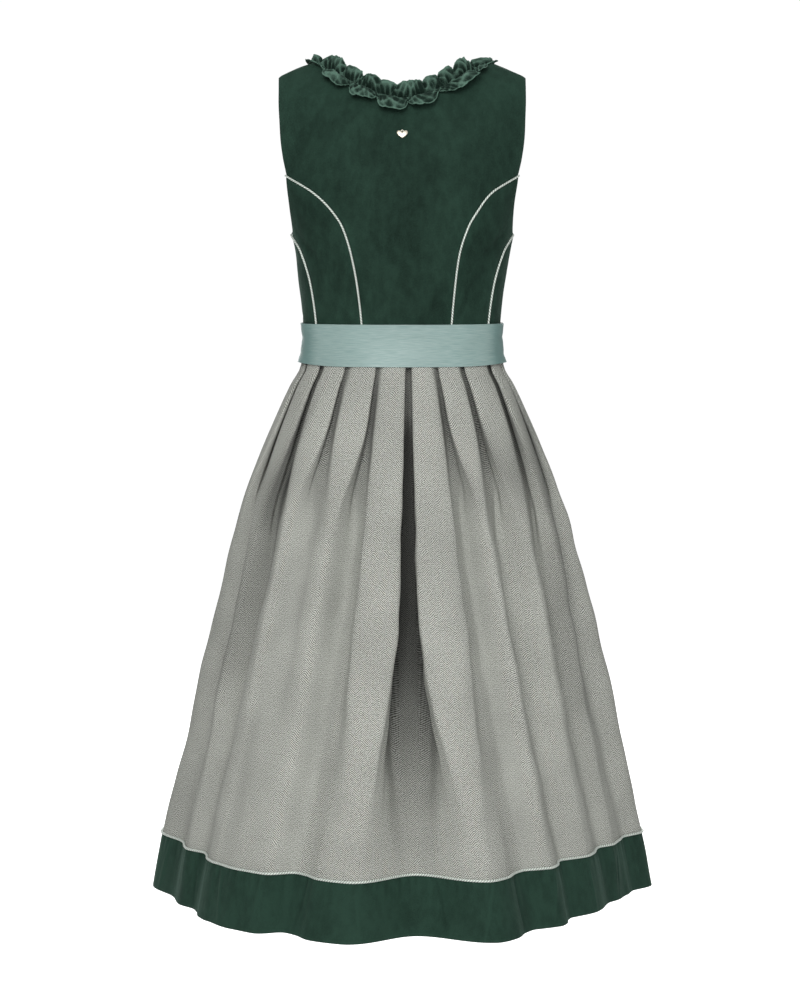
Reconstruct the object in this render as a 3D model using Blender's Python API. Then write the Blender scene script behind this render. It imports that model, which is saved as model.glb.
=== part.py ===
"""A sleeveless dirndl dress with a velvet bodice, a gathered neck ruffle, a taffeta sash,
a pleated skirt and a velvet hem band, filled out as if worn.

Units are metres. +Z is up, the wearer faces -Y and the wearer's left is +X. The origin lies
between the two shoulder straps, at the height where they rest on the shoulders.

Every sheet of cloth is a thin closed wall over rows and columns of points. A level ring of
the dress is an oval whose edge is measured from the centre back: "run" is the distance along
it, positive towards the wearer's left, and "out" is the distance outwards from it.
"""

import functools
import math

import bpy
import numpy as np

# ---------------------------------------------------------------- driving sizes

SEAM_GAP = 0.0003
SHOULDER_SEAM_INSET = 0.0006
BODICE_WALL = 0.0020
SKIRT_WALL = 0.0016
HEM_WALL = 0.0020
SASH_WALL = 0.0012
RUFFLE_WALL = 0.0014

WAIST_DROP = 0.345
HEM_SEAM_DROP = 0.969
HEM_DROP = 1.041
SASH_TOP_DROP = 0.3180
SASH_BOTTOM_DROP = 0.3700

UNDERARM_DROP = 0.207
BACK_JOIN_DROP = 0.1343
FRONT_JOIN_DROP = 0.150

SHOULDER_TIP_X = 0.1546
NECK_POINT_X = 0.113
SHOULDER_FADE = 0.09

BACK_NECK_LEVEL = 0.072
BACK_NECK_ROUNDNESS = 1.7
FRONT_NECK_LEVEL = 0.160
FRONT_NECK_ROUNDNESS = 2.6

FRONT_LAP = 0.010
LAP_RECESS = BODICE_WALL + 0.0004
LAP_RAMP_START = 0.0125
LAP_RAMP_END = 0.027

PIPING_RADIUS = 0.0014
PIPING_SIDES = 6
PIPING_LIFT = 0.0005
PIPING_SASH_GAP = 0.0006
HEM_PIPING_RADIUS = 0.0017
HEM_PIPING_SIDES = 5

RUFFLE_WAVES = 27
RUFFLE_STEPS_PER_WAVE = 6
RUFFLE_UPPER_WIDTH = 0.0130
RUFFLE_LOWER_WIDTH = 0.0200
RUFFLE_RISE_START = 0.078
RUFFLE_RISE_END = 0.110
RUFFLE_RISE_ANGLE = 0.85

SASH_COLUMNS = 72
SASH_LAP = 0.045
SASH_LIFT = 0.0007

BUTTON_COUNT = 7
BUTTON_RADIUS = 0.006
BUTTON_FIRST_DROP = 0.135
BUTTON_LAST_DROP = 0.305
BUTTON_SIDES = 10
BUTTON_LIFT = 0.0007

CHARM_DROP = 0.0815
CHARM_HALF_WIDTH = 0.0068
CHARM_HEIGHT = 0.0100
CHARM_CLEFT = 0.24
CHARM_RING_RADIUS = 0.00145
CHARM_WIRE_RADIUS = 0.00045
TACK_RADIUS = 0.0005
TACK_HEAD_RADIUS = 0.00135

# ---------------------------------------------------------------- short tables

# the torso, a row per level: drop, half width, depth behind and in front of the side line
TORSO = (
    (0.0000, 0.1615, 0.0000, 0.0000),
    (0.0015, 0.1617, 0.0120, 0.0120),
    (0.0060, 0.1620, 0.0225, 0.0235),
    (0.0220, 0.1630, 0.0440, 0.0460),
    (0.0500, 0.1655, 0.0620, 0.0690),
    (0.0900, 0.1675, 0.0780, 0.0940),
    (0.1300, 0.1630, 0.0880, 0.1180),
    (0.1700, 0.1492, 0.0920, 0.1340),
    (0.2070, 0.1394, 0.0915, 0.1370),
    (0.2470, 0.1324, 0.0885, 0.1240),
    (0.2850, 0.1277, 0.0850, 0.1070),
    (0.3205, 0.1243, 0.0825, 0.0960),
    (0.3450, 0.1237, 0.0820, 0.0940),
)
TORSO_SQUARENESS = 2.4

# the skirt's outer ring, a row per level: drop, half width, back depth, front depth
SKIRT = (
    (0.3450, 0.1232, 0.0812, 0.0932),
    (0.3740, 0.1285, 0.0870, 0.0985),
    (0.3950, 0.1405, 0.0985, 0.1080),
    (0.4300, 0.1570, 0.1130, 0.1215),
    (0.4750, 0.1765, 0.1310, 0.1390),
    (0.5300, 0.1980, 0.1510, 0.1575),
    (0.6000, 0.2190, 0.1730, 0.1780),
    (0.6800, 0.2395, 0.1960, 0.1980),
    (0.7750, 0.2620, 0.2210, 0.2190),
    (0.8700, 0.2840, 0.2450, 0.2400),
    (0.9690, 0.3070, 0.2700, 0.2620),
    (1.0410, 0.3210, 0.2860, 0.2760),
)
SKIRT_SQUARENESS = 2.2
SKIRT_ROW_DROPS = (0.374, 0.395, 0.430, 0.475, 0.530, 0.600, 0.680, 0.775, 0.870)

# the pleats of one half, from the centre back or front outwards: angle of the folded edge at
# the waist and of the trough it becomes at the hem, overlap at the waist, how far the hem's
# trough lies in and the crown after it lies out, drop where the fold is fully open
BACK_PLEATS_LEFT = (
    ("centre", 1.3, 5.0, 0.021, 0.000, 0.018, 0.950),
    ("first", 13.0, 25.5, 0.020, 0.018, 0.000, 0.580),
    ("second", 32.0, 38.0, 0.020, 0.003, -0.013, 0.560),
    ("third", 53.0, 62.0, 0.020, 0.032, -0.024, 0.640),
    ("fourth", 73.0, 77.0, 0.020, 0.026, 0.000, 0.620),
)
BACK_PLEATS_RIGHT = (
    ("centre", 1.3, 5.0, 0.021, 0.000, 0.018, 0.950),
    ("first", 18.5, 30.0, 0.020, 0.024, -0.022, 0.560),
    ("second", 35.5, 46.0, 0.020, 0.045, -0.040, 0.600),
    ("third", 60.5, 68.0, 0.020, 0.046, -0.036, 0.680),
    ("fourth", 78.0, 83.0, 0.018, 0.028, 0.000, 0.620),
)
FRONT_PLEATS = (
    ("centre", 1.3, 5.0, 0.021, 0.000, 0.009, 0.950),
    ("first", 17.0, 28.0, 0.020, 0.022, -0.006, 0.580),
    ("second", 36.0, 42.0, 0.020, 0.022, 0.002, 0.600),
    ("third", 58.0, 63.0, 0.020, 0.018, 0.000, 0.620),
)
PLEAT_DEPTH = 0.0050
PLEAT_CLOSED_DROP = 0.430
CENTRE_CLOSED_DROP = 0.660
CENTRE_CROWN_LEFT = 0.37
CENTRE_CROWN_RIGHT = 0.49
SWELL_DROP = 0.385
DEPTH_START = -0.02
DEPTH_END = 0.60
FOLD_RADIUS = 0.00125

# the inverted pleat at the centre back: drop, distance from the centre line, depth
CENTRE_PLEAT = (
    (0.345, -0.0080, 0.005),
    (0.385, -0.0077, 0.013),
    (0.450, -0.0075, 0.025),
    (0.550, -0.0075, 0.035),
    (0.650, -0.0075, 0.040),
    (0.800, -0.0085, 0.040),
    (0.900, -0.0120, 0.035),
    (0.969, -0.0165, 0.028),
    (1.041, -0.0180, 0.025),
)

# how much deeper than their hem waves the pleats are pressed on their way down: drop, depth
PLEAT_PRESS = (
    (0.345, 0.0000),
    (0.375, 0.0010),
    (0.420, 0.0060),
    (0.480, 0.0120),
    (0.550, 0.0150),
    (0.640, 0.0120),
    (0.760, 0.0050),
    (0.900, 0.0000),
    (1.041, 0.0000),
)

# the points of one fold: pressed flat (share of the overlap, run past it, share of the depth)
# and hanging open (share of the wave's half width, share of the depth)
FOLD_POINTS = (
    ("dip", 0.0, -0.0030, 0.95, -0.62, 0.31),
    ("under", 1.0, -FOLD_RADIUS, 1.00, -0.32, 0.77),
    ("inner_fold", 1.0, 0.0, 0.75, -0.02, 1.00),
    ("middle_inside", 1.0, -FOLD_RADIUS, 0.50, 0.20, 0.90),
    ("middle_outside", 0.0, FOLD_RADIUS, 0.50, 0.42, 0.62),
    ("folded_edge", 0.0, 0.0, 0.25, 0.63, 0.30),
    ("panel_start", 0.0, FOLD_RADIUS, 0.00, 0.83, 0.07),
)

# the shoulder seam, from the neck out: distance from the centre line, height
SHOULDER_LINE = (
    (0.1130, 0.0062),
    (0.1270, 0.0012),
    (0.1400, -0.0050),
    (0.1500, -0.0110),
    (0.1620, -0.0200),
)

# the back princess seams: drop, distance of the left one and of the right one from the centre
BACK_PRINCESS = (
    (0.1343, 0.1443, 0.1443),
    (0.1573, 0.1077, 0.1084),
    (0.1775, 0.0871, 0.0930),
    (0.1988, 0.0732, 0.0806),
    (0.2337, 0.0623, 0.0697),
    (0.2750, 0.0547, 0.0644),
    (0.3212, 0.0498, 0.0604),
    (0.3450, 0.0486, 0.0590),
)
# other seams and edges of the bodice: drop, distance from the centre line
SIDE_SEAM = (
    (0.2070, 0.1384),
    (0.2290, 0.1253),
    (0.2730, 0.1124),
    (0.3220, 0.1060),
    (0.3450, 0.1046),
)
FRONT_PRINCESS = (
    (0.1500, 0.1271),
    (0.1650, 0.1064),
    (0.1900, 0.0906),
    (0.2300, 0.0778),
    (0.2850, 0.0611),
    (0.3450, 0.0512),
)
BACK_ARMHOLE = (
    (0.0000, 0.1546),
    (0.0400, 0.1543),
    (0.0740, 0.1526),
    (0.1130, 0.1489),
    (0.1343, 0.1443),
)
FRONT_ARMHOLE = (
    (0.0000, 0.1546),
    (0.0300, 0.1487),
    (0.0700, 0.1379),
    (0.1100, 0.1310),
    (0.1500, 0.1271),
)

BODICE_UPPER_ROWS = 4
BODICE_LOWER_ROWS = 7
SIDE_PANEL_COLUMNS = 4

# colour, roughness, metallic
FINISHES = {
    "green_velvet": ((0.025, 0.065, 0.047), 0.90, 0.0),
    "ruffle_velvet": ((0.030, 0.080, 0.058), 0.90, 0.0),
    "skirt_herringbone": ((0.350, 0.360, 0.315), 0.85, 0.0),
    "sash_taffeta": ((0.300, 0.440, 0.410), 0.50, 0.0),
    "sage_cord": ((0.480, 0.530, 0.450), 0.60, 0.0),
    "pale_gold": ((0.830, 0.690, 0.480), 0.25, 1.0),
    "green_thread": ((0.020, 0.050, 0.036), 0.80, 0.0),
}


# ---------------------------------------------------------------- curves through tables

def smooth_curve(knots, values, level_start=False):
    """A function through the knots that keeps their rises and falls and never overshoots."""
    knots = np.array(knots, dtype=float)
    values = np.array(values, dtype=float)
    slopes = np.diff(values) / np.diff(knots)
    tangents = np.zeros(len(knots))
    tangents[0] = 0.0 if level_start else slopes[0]
    tangents[-1] = slopes[-1]
    for k in range(1, len(knots) - 1):
        if slopes[k - 1] * slopes[k] > 0:
            tangents[k] = 2 / (1 / slopes[k - 1] + 1 / slopes[k])

    def curve(at):
        at = min(max(at, knots[0]), knots[-1])
        k = min(int(np.searchsorted(knots, at, side="right")) - 1, len(knots) - 2)
        width = knots[k + 1] - knots[k]
        f = (at - knots[k]) / width
        start = (1 + 2 * f) * (1 - f) ** 2 * values[k] + f * (1 - f) ** 2 * width * tangents[k]
        end = f ** 2 * (3 - 2 * f) * values[k + 1] - f ** 2 * (1 - f) * width * tangents[k + 1]
        return float(start + end)

    return curve


def table_curve(table, key, column):
    """A smooth curve of one column of a table over another."""
    return smooth_curve([row[key] for row in table], [row[column] for row in table])


def ease(value, start, end):
    """0 before start, 1 after end, and a soft turn between."""
    f = min(max((value - start) / (end - start), 0.0), 1.0)
    return f * f * (3 - 2 * f)


def blend(low, high, share):
    return low + (high - low) * share


# ---------------------------------------------------------------- level rings

class Oval:
    """One level ring, measured along its edge from the centre back to the centre front."""

    STEPS = 360

    def __init__(self, half_width, back_depth, front_depth, squareness):
        self.angle = np.linspace(0.0, math.pi, self.STEPS + 1)
        power = 2 / squareness
        cosine = np.cos(self.angle)
        depth = np.where(self.angle < math.pi / 2, back_depth, front_depth)
        self.x = half_width * np.abs(np.sin(self.angle)) ** power
        self.y = depth * np.sign(cosine) * np.abs(cosine) ** power
        steps = np.hypot(np.diff(self.x), np.diff(self.y))
        self.run = np.concatenate(([0.0], np.cumsum(steps)))
        self.side_run = float(self.run[self.STEPS // 2])
        self.front_run = float(self.run[-1])

    def edge(self, run):
        """The point of the ring at a run, which may be negative or past the centre front."""
        run = (run + self.front_run) % (2 * self.front_run) - self.front_run
        side = -1.0 if run < 0 else 1.0
        x = side * np.interp(abs(run), self.run, self.x)
        return np.array((x, np.interp(abs(run), self.run, self.y)))

    def point(self, run, out=0.0):
        """The point at a run, moved out square to the ring."""
        here = self.edge(run)
        if out == 0.0:
            return here
        along = self.edge(run + 0.001) - self.edge(run - 0.001)
        along /= math.hypot(*along)
        return here + out * np.array((-along[1], along[0]))

    def run_at_angle(self, degrees):
        return float(np.interp(math.radians(degrees), self.angle, self.run))

    def run_at_x(self, x, front=False):
        """How far along the ring a distance from the centre line lies, behind or in front."""
        half = self.STEPS // 2
        if front:
            return float(np.interp(x, self.x[:half - 1:-1], self.run[:half - 1:-1]))
        return float(np.interp(x, self.x[:half + 1], self.run[:half + 1]))


def torso_levels():
    """The distance down the torso's profile, over the shoulder, at each row of its table."""
    rows = np.array(TORSO)
    depth = (rows[:, 2] + rows[:, 3]) / 2
    steps = np.hypot(np.diff(rows[:, 0]), np.diff(depth))
    return np.concatenate(([0.0], np.cumsum(steps)))


SHOULDER_HEIGHT = table_curve(SHOULDER_LINE, 0, 1)
TORSO_LEVELS = torso_levels()
TORSO_CURVES = [smooth_curve(TORSO_LEVELS, [row[c] for row in TORSO], c == 0) for c in range(4)]
DENSE_LEVELS = np.linspace(0.0, TORSO_LEVELS[-1], 600)
DENSE_DROPS = np.array([TORSO_CURVES[0](level) for level in DENSE_LEVELS])
TORSO_OVALS = {}


def level_at_drop(drop):
    return float(np.interp(drop, DENSE_DROPS, DENSE_LEVELS))


def drop_at_level(level):
    return TORSO_CURVES[0](level)


def torso_oval(level):
    key = round(level, 6)
    if key not in TORSO_OVALS:
        sizes = [curve(key) for curve in TORSO_CURVES[1:]]
        TORSO_OVALS[key] = Oval(*sizes, TORSO_SQUARENESS)
    return TORSO_OVALS[key]


def shoulder_rise(x, level):
    """The shoulder seam is highest at the neck and slopes down to its outer end."""
    return SHOULDER_HEIGHT(abs(x)) * max(0.0, 1 - level / SHOULDER_FADE) ** 2


def torso_surface(level, run):
    x, y = torso_oval(level).edge(run)
    return np.array((x, y, shoulder_rise(x, level) - drop_at_level(level)))


def torso_frame(level, run):
    """A point of the torso, its outward direction, and the directions along and up."""
    step = 0.0008
    lower = min(level + step, TORSO_LEVELS[-1])
    upper = max(level - step, 0.0)
    point = torso_surface(level, run)
    along = torso_surface(level, run + step) - torso_surface(level, run - step)
    up = torso_surface(upper, run) - torso_surface(lower, run)
    outward = np.cross(up, along)
    outward /= np.linalg.norm(outward)
    along /= np.linalg.norm(along)
    up = np.cross(along, outward)
    return point, outward, along, up


def skirt_oval(drop):
    sizes = [table_curve(SKIRT, 0, column)(drop) for column in (1, 2, 3)]
    return Oval(*sizes, SKIRT_SQUARENESS)


# ---------------------------------------------------------------- meshes

def new_object(name, vertices, faces, finish):
    """One closed body, its faces turned outwards, with its own finish."""
    vertices = np.array(vertices, dtype=float)
    a, b, c = (vertices[[face[k] for face in faces]] for k in range(3))
    if np.einsum("ij,ij->i", a, np.cross(b, c)).sum() < 0:
        faces = [face[::-1] for face in faces]
    mesh = bpy.data.meshes.new(name)
    mesh.from_pydata(vertices.tolist(), [], faces)
    mesh.shade_smooth()
    mesh.set_sharp_from_angle(angle=math.radians(50))
    mesh.materials.append(material(finish))
    piece = bpy.data.objects.new(name, mesh)
    bpy.context.collection.objects.link(piece)
    return piece


def material(finish):
    if finish in bpy.data.materials:
        return bpy.data.materials[finish]
    colour, roughness, metallic = FINISHES[finish]
    made = bpy.data.materials.new(finish)
    made.use_nodes = True
    shader = made.node_tree.nodes["Principled BSDF"]
    shader.inputs["Base Color"].default_value = (*colour, 1.0)
    shader.inputs["Roughness"].default_value = roughness
    shader.inputs["Metallic"].default_value = metallic
    made.diffuse_color = (*colour, 1.0)
    return made


def cloth_wall(name, outer, inner, finish):
    """A sheet of cloth: two faces of rows and columns of points, closed round the edge."""
    outer = np.array(outer)
    inner = np.array(inner)
    rows, columns, _ = outer.shape
    vertices = np.concatenate((outer.reshape(-1, 3), inner.reshape(-1, 3)))
    shift = rows * columns
    faces = []
    for r in range(rows - 1):
        for c in range(columns - 1):
            a = r * columns + c
            b = a + 1
            d = a + columns
            e = d + 1
            faces += [(a, d, e), (a, e, b)]
            faces += [(a + shift, e + shift, d + shift), (a + shift, b + shift, e + shift)]
    rim = [(0, c) for c in range(columns)]
    rim += [(r, columns - 1) for r in range(1, rows)]
    rim += [(rows - 1, c) for c in range(columns - 2, -1, -1)]
    rim += [(r, 0) for r in range(rows - 2, 0, -1)]
    loop = [r * columns + c for r, c in rim]
    for a, b in zip(loop, loop[1:] + loop[:1]):
        faces += [(a, b, b + shift), (a, b + shift, a + shift)]
    return new_object(name, vertices, faces, finish)


def tube(name, centres, ups, radius, sides, finish, end_square=None):
    """A cord of even thickness through its centres, with flat ends, square to end_square."""
    centres = np.array(centres)
    count = len(centres)
    vertices = []
    for k in range(count):
        along = centres[min(k + 1, count - 1)] - centres[max(k - 1, 0)]
        if end_square is not None and k in (0, count - 1):
            along = np.array(end_square) * math.copysign(1.0, along @ end_square)
        along /= np.linalg.norm(along)
        across = np.cross(along, ups[k])
        across /= np.linalg.norm(across)
        up = np.cross(across, along)
        for s in range(sides):
            turn = 2 * math.pi * (s + 0.5) / sides
            vertices.append(centres[k] + radius * (math.cos(turn) * across + math.sin(turn) * up))
    faces = []
    for k in range(count - 1):
        for s in range(sides):
            a = k * sides + s
            b = k * sides + (s + 1) % sides
            faces += [(a, b, b + sides), (a, b + sides, a + sides)]
    last = (count - 1) * sides
    for s in range(1, sides - 1):
        faces.append((0, s + 1, s))
        faces.append((last, last + s, last + s + 1))
    return new_object(name, vertices, faces, finish)


def turned(name, profile, sides, centre, axis, finish):
    """A round piece: rings of (radius, height) along an axis, closed at both ends."""
    axis = np.array(axis) / np.linalg.norm(axis)
    across = np.cross((0.0, 0.0, 1.0), axis)
    across /= np.linalg.norm(across)
    up = np.cross(axis, across)
    vertices = []
    for radius, height in profile:
        for s in range(sides):
            turn = 2 * math.pi * s / sides
            spoke = math.cos(turn) * across + math.sin(turn) * up
            vertices.append(centre + height * axis + radius * spoke)
    faces = []
    for k in range(len(profile) - 1):
        for s in range(sides):
            a = k * sides + s
            b = k * sides + (s + 1) % sides
            faces += [(a, b, b + sides), (a, b + sides, a + sides)]
    last = (len(profile) - 1) * sides
    for s in range(1, sides - 1):
        faces.append((0, s + 1, s))
        faces.append((last, last + s, last + s + 1))
    return new_object(name, vertices, faces, finish)


# ---------------------------------------------------------------- bodice

WAIST_LEVEL = float(TORSO_LEVELS[-1])
BACK_JOIN_LEVEL = level_at_drop(BACK_JOIN_DROP)
FRONT_JOIN_LEVEL = level_at_drop(FRONT_JOIN_DROP)
UNDERARM_LEVEL = level_at_drop(UNDERARM_DROP)
SASH_TOP_LEVEL = level_at_drop(SASH_TOP_DROP)

BACK_PRINCESS_X = {1: table_curve(BACK_PRINCESS, 0, 1), -1: table_curve(BACK_PRINCESS, 0, 2)}
SIDE_SEAM_X = table_curve(SIDE_SEAM, 0, 1)
FRONT_PRINCESS_X = table_curve(FRONT_PRINCESS, 0, 1)
BACK_ARMHOLE_X = table_curve(BACK_ARMHOLE, 0, 1)
FRONT_ARMHOLE_X = table_curve(FRONT_ARMHOLE, 0, 1)


def back_edge_x(level, side=1):
    drop = drop_at_level(level)
    return BACK_PRINCESS_X[side](drop) if drop > BACK_JOIN_DROP else BACK_ARMHOLE_X(drop)


def front_edge_x(level):
    drop = drop_at_level(level)
    return FRONT_PRINCESS_X(drop) if drop > FRONT_JOIN_DROP else FRONT_ARMHOLE_X(drop)


def back_edge_run(level, side=1):
    return torso_oval(level).run_at_x(back_edge_x(level, side))


def side_seam_run(level):
    return torso_oval(level).run_at_x(SIDE_SEAM_X(drop_at_level(level)))


def front_edge_run(level):
    return torso_oval(level).run_at_x(front_edge_x(level), front=True)


def back_neck_level(x):
    share = min(abs(x) / NECK_POINT_X, 1.0)
    return BACK_NECK_LEVEL * (1 - share ** BACK_NECK_ROUNDNESS)


def front_neck_level(x):
    share = min(abs(x) / NECK_POINT_X, 1.0)
    return FRONT_NECK_LEVEL * (1 - share ** FRONT_NECK_ROUNDNESS)


def seam_levels(top):
    """The levels at which a seam is measured, from its top down to the waist."""
    shares = [(k / BODICE_LOWER_ROWS) ** 1.4 for k in range(BODICE_LOWER_ROWS + 1)]
    return [blend(top, SASH_TOP_LEVEL, share) for share in shares] + [WAIST_LEVEL]


def two_zone_levels(top, join):
    """Rows from the neck or shoulder to the armhole join, then down to the waist."""
    upper = [blend(top, join, k / BODICE_UPPER_ROWS) for k in range(BODICE_UPPER_ROWS)]
    return upper + seam_levels(join)


def trimmed(level):
    """A level kept just short of the shoulder seam and the waist."""
    return min(max(level, SHOULDER_SEAM_INSET), WAIST_LEVEL - SEAM_GAP / 2)


def neck_top(share, centre_x, edge_x, neck_level):
    """The level of the neckline above a column that keeps its share between two edges."""
    level = 0.0
    for _ in range(12):
        x = blend(centre_x, edge_x(level), share)
        level = blend(level, neck_level(x), 0.5)
    return 0.0 if level < 0.0005 else level


def bodice_panel(name, grid, side):
    """A panel from rows and columns of (level, run, recess); side mirrors it."""
    outer = []
    inner = []
    for row in grid:
        frames = [torso_frame(level, side * run) for level, run, _ in row]
        depths = [recess for _, _, recess in row]
        outer.append([p - depth * n for (p, n, _, _), depth in zip(frames, depths)])
        inner.append([p - (depth + BODICE_WALL) * n for (p, n, _, _), depth in zip(frames, depths)])
    return cloth_wall(name, outer, inner, "green_velvet")


def build_bodice_back():
    neck_share = NECK_POINT_X / SHOULDER_TIP_X
    half = [0.0, 0.2, 0.4, 0.6, neck_share, blend(neck_share, 1.0, 0.5), 1.0]
    shares = [-share for share in half[:0:-1]] + half
    columns = []
    for share in shares:
        top = neck_top(abs(share), 0.0, back_edge_x, back_neck_level)
        column = []
        for level in two_zone_levels(top, BACK_JOIN_LEVEL):
            level = trimmed(level)
            edge = back_edge_run(level, -1 if share < 0 else 1) - SEAM_GAP * 0.7
            column.append((level, share * edge, 0.0))
        columns.append(column)
    bodice_panel("bodice_back", list(zip(*columns)), 1)


def side_panel_grid(join_level, edge_run, gap_towards_side):
    """Rows of a panel between a princess seam and the side seam, under the armhole.

    The armhole leaves the princess seam straight down and reaches the side seam level.
    """
    rows = len(seam_levels(join_level))
    gap = SEAM_GAP * 0.7 * gap_towards_side
    join_run = edge_run(join_level)
    under_run = side_seam_run(UNDERARM_LEVEL)
    top = []
    bottom = []
    for k in range(SIDE_PANEL_COLUMNS + 1):
        share = k / SIDE_PANEL_COLUMNS
        turn = share * math.pi / 2
        level = blend(join_level, UNDERARM_LEVEL, math.sin(turn))
        top.append((level, blend(join_run, under_run, 1 - math.cos(turn))))
        bottom.append((WAIST_LEVEL, blend(edge_run(WAIST_LEVEL), side_seam_run(WAIST_LEVEL), share)))
    princess = [(level, edge_run(level)) for level in seam_levels(join_level)]
    side = [(level, side_seam_run(level)) for level in seam_levels(UNDERARM_LEVEL)]
    grid = []
    for r in range(rows):
        down = (princess[r][0] - join_level) / (WAIST_LEVEL - join_level)
        row = []
        for k in range(SIDE_PANEL_COLUMNS + 1):
            share = k / SIDE_PANEL_COLUMNS
            spot = []
            for c in (0, 1):
                across = blend(princess[r][c], side[r][c], share)
                downward = blend(top[k][c], bottom[k][c], down)
                corners_top = blend(top[0][c], top[-1][c], share)
                corners_bottom = blend(bottom[0][c], bottom[-1][c], share)
                spot.append(across + downward - blend(corners_top, corners_bottom, down))
            inset = gap * (1 - 2 * share)
            row.append((trimmed(spot[0]), spot[1] + inset, 0.0))
        grid.append(row)
    return grid


def build_bodice_sides(word, side):
    back = side_panel_grid(BACK_JOIN_LEVEL, functools.partial(back_edge_run, side=side), 1)
    front = side_panel_grid(FRONT_JOIN_LEVEL, front_edge_run, -1)
    bodice_panel(f"bodice_side_back_{word}", back, side)
    bodice_panel(f"bodice_side_front_{word}", front, side)


def lap_recess(x):
    """How far the under front lies behind the upper one near the centre front."""
    return LAP_RECESS * (1 - ease(x, LAP_RAMP_START, LAP_RAMP_END))


def build_bodice_front(name, side, under):
    """A front, from past the centre out to its armhole and princess seam."""
    start = -FRONT_LAP
    shares = [0.0]
    for x in (0.0, LAP_RAMP_START, LAP_RAMP_END, 0.055, 0.085, NECK_POINT_X, 0.136):
        shares.append((x - start) / (SHOULDER_TIP_X - start))
    shares.append(1.0)
    columns = []
    for share in shares:
        top = neck_top(share, start, front_edge_x, front_neck_level)
        column = []
        for level in two_zone_levels(top, FRONT_JOIN_LEVEL):
            level = trimmed(level)
            oval = torso_oval(level)
            edge = front_edge_run(level) + SEAM_GAP * 0.7
            centre = oval.front_run + FRONT_LAP
            in_from_lap = front_column(share, centre - edge, start)
            recess = lap_recess(start + in_from_lap) if under else 0.0
            column.append((level, centre - in_from_lap, recess))
        columns.append(column)
    bodice_panel(name, list(zip(*columns)), side)


def front_column(share, width, start):
    """How far a column of a front lies from the edge that laps past the centre.

    Columns near the centre keep their distance from it; the rest share the width.
    """
    full = SHOULDER_TIP_X - start
    kept = share * full
    lap_end = LAP_RAMP_END - start
    if kept <= lap_end:
        return kept
    return lap_end + (kept - lap_end) / (full - lap_end) * (width - lap_end)


def build_bodice():
    build_bodice_back()
    for word, side in (("left", 1), ("right", -1)):
        build_bodice_sides(word, side)
    build_bodice_front("bodice_front_left", 1, True)
    build_bodice_front("bodice_front_right", -1, False)


# ---------------------------------------------------------------- piping on the bodice seams

def build_seam_piping(name, top_level, seam_run, side):
    """A cord laid on a seam, from the armhole down to just above the sash."""
    levels = seam_levels(top_level)[:-2] + [SASH_TOP_LEVEL - PIPING_SASH_GAP]
    centres = []
    ups = []
    for level in levels:
        point, outward, _, _ = torso_frame(level, side * seam_run(level))
        centres.append(point + (PIPING_RADIUS + PIPING_LIFT) * outward)
        ups.append(outward)
    tube(name, centres, ups, PIPING_RADIUS, PIPING_SIDES, "sage_cord")


def build_bodice_piping():
    for word, side in (("left", 1), ("right", -1)):
        seam_run = functools.partial(back_edge_run, side=side)
        build_seam_piping(f"piping_back_{word}", BACK_JOIN_LEVEL, seam_run, side)
        build_seam_piping(f"piping_side_{word}", UNDERARM_LEVEL, side_seam_run, side)
        build_seam_piping(f"piping_front_{word}", FRONT_JOIN_LEVEL, front_edge_run, side)


# ---------------------------------------------------------------- skirt and hem

CENTRE_X = table_curve(CENTRE_PLEAT, 0, 1)
CENTRE_DEPTH = table_curve(CENTRE_PLEAT, 0, 2)
PRESS_DEPTH = table_curve(PLEAT_PRESS, 0, 1)


def pleat_edges(oval, drop, pleats, shift):
    """Where the folded edges of one half lie at a drop, measured from its own centre."""
    fall = (drop - WAIST_DROP) / (HEM_DROP - WAIST_DROP)
    edges = []
    for name, waist_angle, hem_angle, *_ in pleats:
        run = oval.run_at_angle(blend(waist_angle, hem_angle, fall ** 1.5))
        edges.append(run + shift if name == "centre" else run)
    return edges


def open_fold(name, edge, before, end, middle, crown_share):
    """Where the points of one open fold lie and how deep: a soft trough round its edge."""
    if name == "centre":
        crown = blend(edge, end, crown_share)
        shares = [(k + 0.9) / (len(FOLD_POINTS) + 1) for k in range(len(FOLD_POINTS))]
        return [(blend(middle, crown, f), 0.5 + 0.5 * math.cos(math.pi * f)) for f in shares]
    points = []
    for *_, share, depth in FOLD_POINTS:
        reach = (end - edge if share > 0 else edge - before) / 2
        points.append((edge + share * reach, depth))
    return points


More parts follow.
